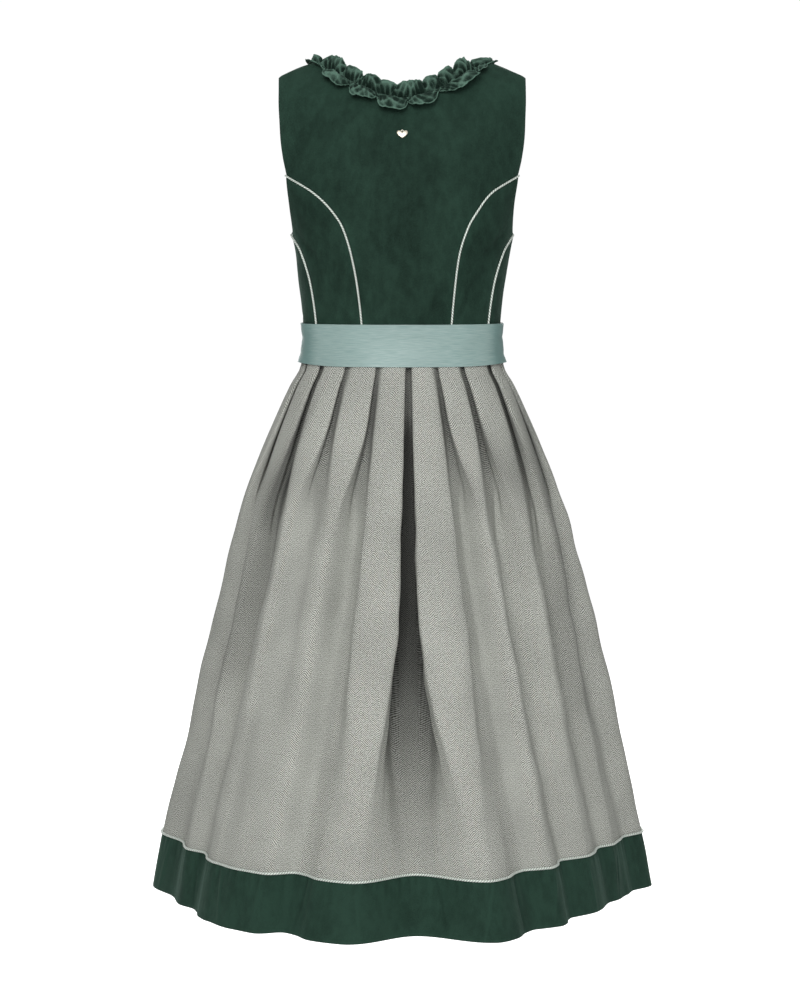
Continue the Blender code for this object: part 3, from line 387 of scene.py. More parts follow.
BODICE_GREENS = (0.0045, 0.0152, 0.0100), (0.0195, 0.050, 0.0345)
RUFFLE_GREENS = (0.006, 0.018, 0.012), (0.098, 0.180, 0.138)
# the cord's painted shade between its strands, and its painted highlight on them
CORD_GREENS = (0.150, 0.175, 0.150), (0.800, 0.870, 0.800)
THREAD_GREEN = (0.020, 0.052, 0.038)
FINISHES = {
    "green_velvet": velvet("green_velvet", *BODICE_GREENS, 0.16, 0.70, 0.5),
    "ruffle_velvet": velvet("ruffle_velvet", *RUFFLE_GREENS, 0.20, 0.75, 0.85),
    "skirt_herringbone": herringbone(),
    "sash_taffeta": taffeta(),
    "sage_cord": strands("sage_cord", 0.48, 0.25, 0.2, *CORD_GREENS, 1600.0, 0.45, 0.5),
    "green_thread": strands("green_thread", 0.6, 0.0, 0.4, THREAD_GREEN, THREAD_GREEN, 2400.0, 0.8, 0.6),
    "pale_gold": gold_finish(),
}

# ---------------------------------------------------------------- curves through tables

def smooth_curve(knots, values, level_start=False):
    """A function through the knots that keeps their rises and falls and never overshoots."""
    knots = np.array(knots, dtype=float)
    values = np.array(values, dtype=float)
    widths = np.diff(knots)
    slopes = np.diff(values) / widths
    tangents = np.zeros(len(knots))
    tangents[0] = 0.0 if level_start else slopes[0]
    tangents[-1] = slopes[-1]
    for k in range(1, len(knots) - 1):
        if slopes[k - 1] * slopes[k] > 0:
            tangents[k] = 2 / (1 / slopes[k - 1] + 1 / slopes[k])

    def curve(at):
        at = np.clip(at, knots[0], knots[-1])
        k = np.clip(np.searchsorted(knots, at, side="right") - 1, 0, len(knots) - 2)
        f = (at - knots[k]) / widths[k]
        start = (1 + 2 * f) * (1 - f) ** 2 * values[k]
        start = start + f * (1 - f) ** 2 * widths[k] * tangents[k]
        end = f ** 2 * (3 - 2 * f) * values[k + 1]
        return start + end - f ** 2 * (1 - f) * widths[k] * tangents[k + 1]

    return curve


def table_curve(table, column):
    """A smooth curve of one column of a table over its first one."""
    return smooth_curve([row[0] for row in table], [row[column] for row in table])


def ease(value, start, end):
    """0 before start, 1 after end, and a soft turn between."""
    f = np.clip((value - start) / (end - start), 0.0, 1.0)
    return f * f * (3 - 2 * f)


def blend(low, high, share):
    return low + (high - low) * share


def unit(vectors):
    """The same directions, each one long."""
    length = np.linalg.norm(vectors, axis=-1, keepdims=True)
    return vectors / np.maximum(length, 1e-12)


def path_lengths(points):
    """The distance along a row of points, from its first one."""
    steps = np.linalg.norm(np.diff(points, axis=0), axis=1)
    return np.concatenate(([0.0], np.cumsum(steps)))


def turns(count):
    """Even angles once round."""
    return 2 * math.pi * np.arange(count) / count


# ---------------------------------------------------------------- level rings

class Oval:
    """One level ring, measured along its edge from the centre back to the centre front."""

    STEPS = 360
    TANGENT_STEP = 0.001

    def __init__(self, half_width, back_depth, front_depth, squareness):
        self.angle = np.linspace(0.0, math.pi, self.STEPS + 1)
        power = 2 / squareness
        cosine = np.cos(self.angle)
        depth = np.where(self.angle < math.pi / 2, back_depth, front_depth)
        self.x = half_width * np.abs(np.sin(self.angle)) ** power
        self.y = depth * np.sign(cosine) * np.abs(cosine) ** power
        self.run = path_lengths(np.stack((self.x, self.y), axis=1))
        self.side_run = float(self.run[self.STEPS // 2])
        self.front_run = float(self.run[-1])

    def edge(self, run):
        """Points of the ring at runs, which may be negative or past the centre front."""
        run = (run + self.front_run) % (2 * self.front_run) - self.front_run
        x = np.where(run < 0, -1.0, 1.0) * np.interp(np.abs(run), self.run, self.x)
        return np.stack((x, np.interp(np.abs(run), self.run, self.y)), axis=-1)

    def point(self, run, out=0.0):
        """The points at runs, moved out square to the ring."""
        run = np.asarray(run, dtype=float)
        along = self.edge(run + self.TANGENT_STEP) - self.edge(run - self.TANGENT_STEP)
        along = unit(along)
        square = np.stack((-along[..., 1], along[..., 0]), axis=-1)
        return self.edge(run) + np.asarray(out)[..., None] * square

    def run_at_angle(self, degrees):
        return float(np.interp(math.radians(degrees), self.angle, self.run))

    def run_at_x(self, x, front=False):
        """How far along the ring a distance from the centre line lies, behind or in front."""
        half = self.STEPS // 2
        if front:
            return float(np.interp(x, self.x[:half - 1:-1], self.run[:half - 1:-1]))
        return float(np.interp(x, self.x[:half + 1], self.run[:half + 1]))


class FrontFirst:
    """A ring measured from the centre front instead, positive towards the wearer's left."""

    def __init__(self, oval):
        self.oval = oval

    def point(self, run, out):
        return self.oval.point(self.oval.front_run - np.asarray(run), out)

    def run_at_angle(self, degrees):
        return self.oval.front_run - self.oval.run_at_angle(180 - degrees)


def torso_levels():
    """The distance down the torso's profile, over the shoulder, at each row of its table."""
    rows = np.array(TORSO)
    depth = (rows[:, 2] + rows[:, 3]) / 2
    return path_lengths(np.stack((rows[:, 0], depth), axis=1))


SHOULDER_HEIGHT = table_curve(SHOULDER_LINE, 1)
TORSO_LEVELS = torso_levels()
TORSO_CURVES = [smooth_curve(TORSO_LEVELS, [row[c] for row in TORSO], c == 0) for c in range(4)]
WAIST_LEVEL = float(TORSO_LEVELS[-1])
DENSE_LEVELS = np.linspace(0.0, WAIST_LEVEL, 600)
DENSE_DROPS = TORSO_CURVES[0](DENSE_LEVELS)


def level_at_drop(drop):
    return np.interp(drop, DENSE_DROPS, DENSE_LEVELS)


def drop_at_level(level):
    return TORSO_CURVES[0](level)


def new_torso_oval(level):
    return Oval(*[float(curve(level)) for curve in TORSO_CURVES[1:]], TORSO_SQUARENESS)


TORSO_OVALS = {}


def torso_oval(level):
    """The ring of the torso at a level, kept for the next time it is asked for."""
    key = round(float(level), 5)
    if key not in TORSO_OVALS:
        TORSO_OVALS[key] = new_torso_oval(key)
    return TORSO_OVALS[key]


def torso_table():
    """The torso over even shares of the way round, a row per dense level."""
    shares = np.linspace(0.0, 1.0, 721)
    ovals = [new_torso_oval(level) for level in DENSE_LEVELS]
    rows = [oval.edge(shares * oval.front_run) for oval in ovals]
    return np.array(rows), np.array([oval.front_run for oval in ovals])


TORSO_POINTS, TORSO_REACHES = torso_table()


def reach_at(level):
    """The run of the centre front."""
    return np.interp(level, DENSE_LEVELS, TORSO_REACHES)


def shoulder_rise(x, level):
    """The shoulder seam is highest at the neck and slopes down to its outer end."""
    return SHOULDER_HEIGHT(np.abs(x)) * np.maximum(0.0, 1 - level / SHOULDER_FADE) ** 2


def torso_surface(level, run):
    """Points of the torso at levels and runs."""
    level = np.asarray(level, dtype=float)
    run = np.asarray(run, dtype=float)
    reach = reach_at(level)
    run = (run + reach) % (2 * reach) - reach
    rows, columns, _ = TORSO_POINTS.shape
    at = np.clip(level / WAIST_LEVEL * (rows - 1), 0, rows - 1.001)
    across = np.clip(np.abs(run) / reach * (columns - 1), 0, columns - 1.001)
    r = at.astype(int)
    c = across.astype(int)
    along = (across - c)[..., None]
    top = blend(TORSO_POINTS[r, c], TORSO_POINTS[r, c + 1], along)
    low = blend(TORSO_POINTS[r + 1, c], TORSO_POINTS[r + 1, c + 1], along)
    spot = blend(top, low, (at - r)[..., None])
    x = np.where(run < 0, -1.0, 1.0) * spot[..., 0]
    z = shoulder_rise(x, level) - drop_at_level(level)
    return np.stack((x, spot[..., 1], z), axis=-1)


FRAME_STEP = 0.0008


def torso_frame(level, run):
    """Points of the torso, their outward directions, and the directions along and up."""
    level = np.asarray(level, dtype=float)
    run = np.asarray(run, dtype=float)
    lower = np.minimum(level + FRAME_STEP, WAIST_LEVEL)
    upper = np.maximum(level - FRAME_STEP, 0.0)
    along = unit(torso_surface(level, run + FRAME_STEP) - torso_surface(level, run - FRAME_STEP))
    up = torso_surface(upper, run) - torso_surface(lower, run)
    outward = unit(np.cross(up, along))
    return torso_surface(level, run), outward, along, np.cross(along, outward)


def skirt_oval(drop):
    sizes = [float(table_curve(SKIRT, column)(drop)) for column in (1, 2, 3)]
    return Oval(*sizes, SKIRT_SQUARENESS)


# ---------------------------------------------------------------- meshes

def hump(distance, width):
    """1 where the distance is 0, and fading on both sides of it over a width."""
    return np.exp(-(distance / width) ** 2)


def raised(grid, normals, height):
    return grid + np.asarray(height)[..., None] * normals


def faces_out(grid, towards=None):
    """The outward direction at each point of a grid, on the side that towards points to."""
    if towards is None:
        towards = grid * (1.0, 1.0, 0.0)
    normal = unit(np.cross(np.gradient(grid, axis=0), np.gradient(grid, axis=1)))
    return -normal if np.sum(normal * towards) < 0 else normal


SHARP_ANGLE = math.radians(60)


def new_object(name, points, faces, finish, flat=None, wear_and_painted_light=None, body="dress"):
    """A piece with its finish, its flat map in metres and its mark of wear, painted light and painted shade,
    from 0 to 1.
    """
    mesh = bpy.data.meshes.new(name)
    mesh.from_pydata(points.tolist(), [], faces)
    if flat is not None:
        corner = np.zeros(len(mesh.loops), dtype=np.int32)
        mesh.loops.foreach_get("vertex_index", corner)
        layer = mesh.uv_layers.new(name="flat cloth")
        layer.data.foreach_set("uv", flat[corner].astype(np.float32).ravel())
    if wear_and_painted_light is not None:
        mark = mesh.attributes.new("wear_and_painted_light", "FLOAT", "POINT")
        mark.data.foreach_set("value", wear_and_painted_light.astype(np.float32).ravel())
    mesh.shade_smooth()
    mesh.set_sharp_from_angle(angle=SHARP_ANGLE)
    mesh.materials.append(FINISHES[finish])
    piece = bpy.data.objects.new(name, mesh)
    bpy.context.collection.objects.link(piece)
    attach(piece, body)
    return piece


def flat_map(across, down):
    """The place of each point on the flat cloth, from its distances across and down."""
    return np.stack(np.broadcast_arrays(across, down), axis=-1)


def cloth(name, grid, normals, wall, finish, flat, wear_and_painted_light, replaced):
    """A sheet of cloth: a grid of points, its inner face one wall behind, closed round."""
    rows, columns, _ = grid.shape
    points = np.concatenate((grid.reshape(-1, 3), (grid - wall * normals).reshape(-1, 3)))
    flat = np.tile(flat.reshape(-1, 2), (2, 1))
    wear_and_painted_light = np.tile(wear_and_painted_light.ravel(), 2)
    shift = rows * columns
    index = np.arange(shift).reshape(rows, columns)
    outer = (index[:-1, :-1], index[:-1, 1:], index[1:, 1:], index[1:, :-1])
    loop = np.concatenate((index[0], index[1:, -1], index[-1, -2::-1], index[-2:0:-1, 0]))
    after = np.roll(loop, -1)
    rim = (loop, loop + shift, after + shift, after)
    row, column = rows // 2, columns // 2
    below = grid[row + 1, column] - grid[row, column]
    beside = grid[row, column + 1] - grid[row, column]
    if np.cross(below, beside) @ normals[row, column] > 0:
        outer, rim = [(corners[0], *corners[:0:-1]) for corners in (outer, rim)]
    outer = np.stack([corner.ravel() for corner in outer], axis=1)
    faces = np.concatenate((outer, outer[:, ::-1] + shift, np.stack(rim, axis=1))).tolist()
    piece = new_object(name, points, faces, finish, flat, wear_and_painted_light)
    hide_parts(replaced)


def ring_points(centres, along, ups, reach, sides):
    """Rings of points round a path, a reach away from it."""
    across = unit(np.cross(along, ups))
    up = np.cross(across, along)
    turn = turns(sides)[:, None]
    ring = np.cos(turn) * across[:, None] + np.sin(turn) * up[:, None]
    return (centres[:, None] + np.asarray(reach)[..., None] * ring).reshape(-1, 3)


def ring_faces(rings, sides):
    """Faces between neighbouring rings of points."""
    index = np.arange(rings * sides).reshape(rings, sides)
    a = index[:-1].ravel()
    b = np.roll(index, -1, axis=1)[:-1].ravel()
    return np.stack((a, b, b + sides, a + sides), axis=1).tolist()


CORD_SIDES = 10
CORD_GROOVE = 0.20


def round_cord(name, centres, ups, radius, twist, replaced):
    """A cord along its centres: its two twisted strands show as lobes that wind round it."""
    lengths = path_lengths(centres)[:, None]
    turn = turns(CORD_SIDES)[None, :]
    lobe = np.abs(np.cos(turn - math.pi * lengths / twist))
    reach = radius * (1 - CORD_GROOVE + CORD_GROOVE * lobe)
    along = unit(np.gradient(centres, axis=0))
    points = ring_points(centres, along, ups, reach, CORD_SIDES)
    faces = ring_faces(len(centres), CORD_SIDES)
    faces.append(list(range(CORD_SIDES))[::-1])
    faces.append(list(range(len(points) - CORD_SIDES, len(points))))
    flat = flat_map(lengths, radius * turn).reshape(-1, 2)
    # the strands' lobes also set the cord's painted highlight and the painted shade between them
    cord = new_object(name, points, faces, "sage_cord", flat, lobe)
    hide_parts(replaced)


def along_path(values, lengths, at):
    """Values along a path, read off at other lengths."""
    return np.stack([np.interp(at, lengths, values[:, c]) for c in range(values.shape[1])], axis=1)


def even_path(points, step):
    """The same path with points a step apart."""
    lengths = path_lengths(points)
    count = max(int(lengths[-1] / step), 2)
    return along_path(points, lengths, np.linspace(0.0, lengths[-1], count + 1))


def spline(points, per_step):
    """A soft curve through points, with per_step points from one to the next."""
    points = np.asarray(points, dtype=float)
    first = 2 * points[0] - points[1]
    last = 2 * points[-1] - points[-2]
    p = np.concatenate((first[None], points, last[None]))
    gaps = np.sqrt(np.maximum(np.linalg.norm(np.diff(p, axis=0), axis=1), 1e-9))
    before, width, after = gaps[:-2, None], gaps[1:-1, None], gaps[2:, None]
    p0, p1, p2, p3 = p[:-3], p[1:-2], p[2:-1], p[3:]
    start = (p1 - p0) / before - (p2 - p0) / (before + width) + (p2 - p1) / width
    end = (p2 - p1) / width - (p3 - p1) / (width + after) + (p3 - p2) / after
    start = (start * width)[:, None]
    end = (end * width)[:, None]
    f = (np.arange(per_step) / per_step)[None, :, None]
    p1 = p1[:, None]
    p2 = p2[:, None]
    curve = (2 * f ** 3 - 3 * f ** 2 + 1) * p1 + (f ** 3 - 2 * f ** 2 + f) * start
    curve = curve + (3 * f ** 2 - 2 * f ** 3) * p2 + (f ** 3 - f ** 2) * end
    return np.concatenate((curve.reshape(-1, points.shape[1]), points[-1:]))


# ---------------------------------------------------------------- bodice

BODICE_UPPER_ROWS = 44
BODICE_LOWER_ROWS = 72
BACK_COLUMNS = 130
FRONT_COLUMNS = 84
SIDE_COLUMNS = 26
LOWER_ROW_BIAS = 1.4

BACK_JOIN_LEVEL = float(level_at_drop(BACK_JOIN_DROP))
FRONT_JOIN_LEVEL = float(level_at_drop(FRONT_JOIN_DROP))
UNDERARM_LEVEL = float(level_at_drop(UNDERARM_DROP))
SASH_TOP_LEVEL = float(level_at_drop(SASH_TOP_DROP))

SIDES = (("left", 1), ("right", -1))
BACK_PRINCESS_X = {1: table_curve(BACK_PRINCESS, 1), -1: table_curve(BACK_PRINCESS, 2)}
FRONT_PRINCESS_X = table_curve(FRONT_PRINCESS, 1)
BACK_ARMHOLE_X = table_curve(BACK_ARMHOLE, 1)
FRONT_ARMHOLE_X = table_curve(FRONT_ARMHOLE, 1)


def back_edge_x(drop, side=1):
    return np.where(drop > BACK_JOIN_DROP, BACK_PRINCESS_X[side](drop), BACK_ARMHOLE_X(drop))


def front_edge_x(drop):
    return np.where(drop > FRONT_JOIN_DROP, FRONT_PRINCESS_X(drop), FRONT_ARMHOLE_X(drop))


def run_curve(edge_x, front=False):
    """The run of an edge as a function of the level, from its distance from the centre line."""
    pairs = zip(DENSE_LEVELS, edge_x(DENSE_DROPS))
    runs = [torso_oval(level).run_at_x(float(x), front) for level, x in pairs]
    return functools.partial(np.interp, xp=DENSE_LEVELS, fp=np.array(runs))


back_edge_run = {side: run_curve(functools.partial(back_edge_x, side=side)) for side in (1, -1)}
side_seam_run = run_curve(table_curve(SIDE_SEAM, 1))
front_edge_run = run_curve(front_edge_x, front=True)


def neck_level(x, level, roundness):
    """The level of a neckline at a distance from the centre line."""
    share = np.minimum(np.abs(x) / NECK_POINT_X, 1.0)
    return level * (1 - share ** roundness)


back_neck_level = functools.partial(neck_level, level=BACK_NECK_LEVEL, roundness=BACK_NECK_ROUNDNESS)
front_neck_level = functools.partial(neck_level, level=FRONT_NECK_LEVEL, roundness=FRONT_NECK_ROUNDNESS)


def seam_levels(top):
    """The levels of the lower rows, from a seam's top down to the waist."""
    shares = (np.arange(BODICE_LOWER_ROWS + 1) / BODICE_LOWER_ROWS) ** LOWER_ROW_BIAS
    return np.append(blend(top, SASH_TOP_LEVEL, shares), (SASH_TOP_LEVEL + WAIST_LEVEL) / 2)


def neck_top(share, centre_x, edge_x, neck):
    """The level of the neckline above a column that keeps its share between two edges."""
    level = 0.0
    for _ in range(14):
        x = blend(centre_x, float(edge_x(drop_at_level(level))), share)
        level = blend(level, float(neck(x)), 0.5)
    return max(level, SEAM_GAP)


def column_levels(shares, centre_x, edge_x, neck, join):
    """The levels of each column: from the neckline to the armhole join, then to the waist."""
    upper = np.arange(BODICE_UPPER_ROWS) / BODICE_UPPER_ROWS
    tops = [neck_top(abs(share), centre_x, edge_x, neck) for share in shares]
    columns = [np.concatenate((blend(top, join, upper), seam_levels(join))) for top in tops]
    return np.stack(columns, axis=1)


# soft creases of the bodice, from the spine and the shoulder blades round to the front: way
# round (0 centre back, 1 centre front, negative on the wearer's right) and drop, at one end
# and the other, width, depth (below 0 is a trough)
BODICE_CREASES = (
    (0.0, 0.11, 0.01, 0.3, 0.03, -0.0004), (0.19, 0.06, 0.16, 0.17, 0.028, 0.0001),
    (-0.2, 0.055, -0.17, 0.175, 0.028, 0.0001), (0.1, 0.318, 0.17, 0.262, 0.0055, -0.001),
    (0.13, 0.318, 0.24, 0.285, 0.005, 0.0007), (-0.08, 0.318, -0.13, 0.27, 0.006, -0.0009),
    (-0.19, 0.318, -0.25, 0.255, 0.005, -0.001), (0.36, 0.2, 0.27, 0.245, 0.0055, -0.0011),
    (0.42, 0.232, 0.33, 0.268, 0.005, -0.0008), (-0.35, 0.198, -0.26, 0.238, 0.006, -0.0012),
    (-0.43, 0.236, -0.31, 0.28, 0.005, -0.0008), (0.44, 0.316, 0.52, 0.288, 0.005, -0.001),
    (-0.47, 0.316, -0.54, 0.28, 0.0055, -0.0011), (0.66, 0.155, 0.76, 0.19, 0.006, -0.0011),
    (-0.65, 0.15, -0.77, 0.186, 0.0065, -0.0012), (0.93, 0.196, 0.8, 0.176, 0.005, -0.0008),
    (0.93, 0.226, 0.82, 0.222, 0.005, -0.0009), (-0.93, 0.19, -0.81, 0.17, 0.005, -0.0009),
    (-0.92, 0.232, -0.8, 0.236, 0.005, -0.0008), (0.86, 0.318, 0.78, 0.268, 0.0055, -0.0011),
    (-0.84, 0.318, -0.79, 0.262, 0.0055, -0.0012), (0.7, 0.316, 0.64, 0.282, 0.005, -0.0009),
    (-0.72, 0.316, -0.63, 0.29, 0.005, -0.0008),
)
HALF_ROUND = 0.34

# slow swells of the filled cloth: waves in a metre along x, y and z, shift, height
SWELLS = (
    (58.0, 21.0, 43.0, 0.4, 0.00045), (-37.0, 64.0, 29.0, 1.9, 0.0004),
    (83.0, -46.0, 71.0, 3.1, 0.00026), (-24.0, 91.0, -97.0, 4.4, 0.0002),
)


def swelling(points):
    """A slow unevenness that runs on from one piece of cloth to the next."""
    height = np.zeros(points.shape[:-1])
    for x, y, z, shift, size in SWELLS:
        height += size * np.sin(points @ np.array((x, y, z)) + shift)
    return height


CREASE_FADE = 0.75
CREASE_START_WIDTH = 0.6


def crease_heights(across, down, creases, scale):
    """Troughs and ridges along straight lines: their height at every point."""
    height = np.zeros(np.shape(across))
    for across_start, down_start, across_end, down_end, width, depth in creases:
        start = np.array((across_start * scale, down_start))
        line = np.array((across_end * scale, down_end)) - start
        spot = np.stack((across * scale, down), axis=-1) - start
        share = np.clip(spot @ line / float(line @ line), 0.0, 1.0)
        distance = np.linalg.norm(spot - share[..., None] * line, axis=-1)
        fade = 1 - CREASE_FADE * (2 * share - 1) ** 2
        height += depth * fade * hump(distance, width * blend(CREASE_START_WIDTH, 1.0, share))
    return height


def edge_distances(grid):
    """How far each point is from the first and the last column, along its row."""
    steps = np.linalg.norm(np.diff(grid, axis=1), axis=2)
    along = np.concatenate((np.zeros((len(grid), 1)), np.cumsum(steps, axis=1)), axis=1)
    return along, along[:, -1:] - along


SEAM_SINK = 0.0008
SEAM_REACH = 0.0024
EDGE_WEAR_REACH = 0.0055
SEAM_WEAR = 0.8
TOP_WEAR = 0.6
# on creases: paler where the nap on a ridge is worn, and painted shade in the troughs
CREASE_WEAR_AND_SHADE = 0.5
CREASE_MARK_HEIGHT = 0.0012
MOST_CREASE_MARK = 0.8
# painted sheen: the velvet paler towards the shoulders
SHOULDER_PAINTED_SHEEN = 0.60
SHOULDER_PAINTED_SHEEN_DROP = 0.13


def bodice_panel(place, level, run, side, recess=0.0):
    """A velvet panel from grids of level and run: sunk at its seams, creased and worn."""
    run = side * run
    drop = drop_at_level(level)
    points, normals, _, _ = torso_frame(level, run)
    creases = crease_heights(run / reach_at(level), drop, BODICE_CREASES, HALF_ROUND)
    nearest = np.minimum(*edge_distances(points))
    sunk = SEAM_SINK * hump(nearest, SEAM_REACH)
    grid = raised(points, normals, creases + swelling(points) - sunk - recess)
    top = np.linalg.norm(points - points[:1], axis=2)
    wear_and_painted_light = SEAM_WEAR * np.exp(-nearest / EDGE_WEAR_REACH) + TOP_WEAR * np.exp(-top / EDGE_WEAR_REACH)
    # worn nap on crease ridges, painted shade in crease troughs
    wear_and_painted_light += CREASE_WEAR_AND_SHADE * np.clip(creases / CREASE_MARK_HEIGHT, -MOST_CREASE_MARK, MOST_CREASE_MARK)
    # painted sheen, paler towards the shoulders
    wear_and_painted_light += SHOULDER_PAINTED_SHEEN * ease(-drop, -SHOULDER_PAINTED_SHEEN_DROP, 0.0)
    normals = faces_out(grid, normals)
    flat = flat_map(run, level)
    cloth(f"velvet_{place}", grid, normals, BODICE_WALL, "green_velvet", flat, wear_and_painted_light, f"bodice_{place}")


def build_bodice_back():
    shares = np.linspace(-1.0, 1.0, BACK_COLUMNS + 1)
    level = column_levels(shares, 0.0, back_edge_x, back_neck_level, BACK_JOIN_LEVEL)
    edge = np.where(shares < 0, back_edge_run[-1](level), back_edge_run[1](level))
    bodice_panel("back", level, shares * (edge - SEAM_GAP / 2), 1)


def side_panel(place, side, join_level, edge_run, gap_side):
    """A panel between a princess seam and the side seam, filled in from its four edges.

    The armhole leaves the princess seam straight down and reaches the side seam level.
    """
    share = np.linspace(0.0, 1.0, SIDE_COLUMNS + 1)
    turn = share * math.pi / 2
    levels = seam_levels(join_level)
    under = seam_levels(UNDERARM_LEVEL)
    waist = levels[-1]
    top_levels = blend(join_level, UNDERARM_LEVEL, np.sin(turn))
    top_runs = blend(edge_run(join_level), side_seam_run(UNDERARM_LEVEL), 1 - np.cos(turn))
    top = np.stack((top_levels, top_runs), axis=1)[None]
    ends = blend(edge_run(waist), side_seam_run(waist), share)
    bottom = np.stack((np.full(len(turn), waist), ends), axis=1)[None]
    princess = np.stack((levels, edge_run(levels)), axis=1)[:, None]
    side_seam = np.stack((under, side_seam_run(under)), axis=1)[:, None]
    across = share[None, :, None]
    down = ((levels - join_level) / (waist - join_level))[:, None, None]
    spot = blend(princess, side_seam, across) + blend(top, bottom, down)
    corners_top = blend(top[:, :1], top[:, -1:], across)
    corners_bottom = blend(bottom[:, :1], bottom[:, -1:], across)
    spot = spot - blend(corners_top, corners_bottom, down)
    run = spot[..., 1] + SEAM_GAP / 2 * gap_side * (1 - 2 * share)
    bodice_panel(place, spot[..., 0], run, side)


def build_bodice_front(word, side, under):
    """A front, from past the centre out to its armhole and princess seam."""
    start = -FRONT_LAP
    full = SHOULDER_TIP_X - start
    kept_end = (LAP_RAMP_END - start) / full
    shares = np.linspace(0.0, 1.0, FRONT_COLUMNS + 1)
    level = column_levels(shares, start, front_edge_x, front_neck_level, FRONT_JOIN_LEVEL)
    reach = reach_at(level)
    width = reach + FRONT_LAP - front_edge_run(level) - SEAM_GAP / 2
    kept = shares * full
    beyond = (shares - kept_end) / (1 - kept_end) * (width - kept_end * full) + kept_end * full
    from_edge = np.where(shares < kept_end, kept, beyond)
    ramp = ease(from_edge + start, LAP_RAMP_START, LAP_RAMP_END)
    recess = LAP_RECESS * (1 - ramp) if under else 0.0
    bodice_panel(f"front_{word}", level, reach + FRONT_LAP - from_edge, side, recess)


def build_bodice():
    build_bodice_back()
    for word, side in SIDES:
        side_panel(f"side_back_{word}", side, BACK_JOIN_LEVEL, back_edge_run[side], 1)
        side_panel(f"side_front_{word}", side, FRONT_JOIN_LEVEL, front_edge_run, -1)
    for word, side in SIDES:
        build_bodice_front(word, side, word == "left")


PIPING_RADIUS = 0.0013
PIPING_SINK = 0.0002
PIPING_TWIST = 0.0036
PIPING_END = 0.0004
PIPING_POINTS = 240
CORD_STEP = 0.0007
SEAMS = (
    ("back", BACK_JOIN_LEVEL, back_edge_run),
    ("side", UNDERARM_LEVEL, {1: side_seam_run, -1: side_seam_run}),
    ("front", FRONT_JOIN_LEVEL, {1: front_edge_run, -1: front_edge_run}),
)


def build_piping():
    """Twisted cord over the six seams of the bodice, down into the sash."""
    for seam, top, seam_run in SEAMS:
        for word, side in SIDES:
            levels = np.linspace(top, SASH_TOP_LEVEL - PIPING_END, PIPING_POINTS)
            points, outward, _, _ = torso_frame(levels, side * seam_run[side](levels))
            path = even_path(points + (PIPING_RADIUS - PIPING_SINK) * outward, CORD_STEP)
            ups = outward[np.linspace(0.0, len(levels) - 1, len(path)).astype(int)]
            name = f"{seam}_{word}"
            round_cord(f"cord_{name}", path, ups, PIPING_RADIUS, PIPING_TWIST, f"piping_{name}")


# ---------------------------------------------------------------- skirt and hem

# the pleats of one half, from the centre back or front outwards, the inverted one first: angle
# of the folded edge at the waist and of the trough it becomes at the hem, overlap at the waist,
# how far the hem's trough lies in and the crown after it lies out, drop where the fold is open
BACK_PLEATS_LEFT = (
    (1.3, 5.0, 0.021, 0.0, 0.018, 0.95), (13.0, 25.5, 0.02, 0.018, 0.0, 0.58),
    (32.0, 38.0, 0.02, 0.003, -0.013, 0.56), (53.0, 62.0, 0.02, 0.032, -0.024, 0.64),
    (73.0, 77.0, 0.02, 0.026, 0.0, 0.62),
)
BACK_PLEATS_RIGHT = (
    (1.3, 5.0, 0.021, 0.0, 0.018, 0.95), (18.5, 30.0, 0.02, 0.024, -0.022, 0.56),
    (35.5, 46.0, 0.02, 0.045, -0.04, 0.6), (60.5, 68.0, 0.02, 0.046, -0.036, 0.68),
    (78.0, 83.0, 0.018, 0.028, 0.0, 0.62),
)
FRONT_PLEATS = (
    (1.3, 5.0, 0.021, 0.0, 0.009, 0.95), (17.0, 28.0, 0.02, 0.022, -0.006, 0.58),
    (36.0, 42.0, 0.02, 0.022, 0.002, 0.6), (58.0, 63.0, 0.02, 0.018, 0.0, 0.62),
)
PLEAT_DEPTH = 0.0050
PLEAT_CLOSED_DROP = 0.430
CENTRE_CLOSED_DROP = 0.660
CENTRE_CROWN_LEFT = 0.37
CENTRE_CROWN_RIGHT = 0.49
CLOSED_CROWN = 0.70
SWELL_DROP = 0.385
DEPTH_START = -0.02
DEPTH_END = 0.60
ANGLE_TURN = 1.5
FOLD_RADIUS = 0.00125

# the inverted pleat at the centre back: drop, distance from the centre line, depth
CENTRE_PLEAT = (
    (0.345, -0.008, 0.005), (0.385, -0.0077, 0.013), (0.45, -0.0075, 0.025), (0.55, -0.0075, 0.035),
    (0.65, -0.0075, 0.04), (0.8, -0.0085, 0.04), (0.9, -0.012, 0.035), (0.969, -0.0165, 0.028),
    (1.041, -0.018, 0.025),
)

# how much deeper than their hem waves the pleats are pressed on their way down: drop, depth
PLEAT_PRESS = (
    (0.345, 0.0), (0.375, 0.001), (0.42, 0.006), (0.48, 0.012), (0.55, 0.015), (0.64, 0.012),
    (0.76, 0.005), (0.9, 0.0), (1.041, 0.0),
)

# the points of one fold, from the dip before it over its inner and its outer fold to the next
# panel: pressed flat (share of the overlap, run past it, share of the depth) and hanging open
# (share of the wave's half width, share of the depth)
FOLD_POINTS = (
    (0.0, -0.003, 0.95, -0.62, 0.31), (1.0, -FOLD_RADIUS, 1.0, -0.32, 0.77),
    (1.0, 0.0, 0.75, -0.02, 1.0), (1.0, -FOLD_RADIUS, 0.5, 0.2, 0.9),
    (0.0, FOLD_RADIUS, 0.5, 0.42, 0.62), (0.0, 0.0, 0.25, 0.63, 0.3),
    (0.0, FOLD_RADIUS, 0.0, 0.83, 0.07),
)
POINTS_PER_PLEAT = len(FOLD_POINTS) + 1

SKIRT_ROWS = 96
SKIRT_STEPS = 5
HEM_STEPS = 10
HEM_ROWS = 22
HEM_TURN = 0.014
HEM_TURN_ROWS = 5
HEM_TURN_DEPTH = 0.0019

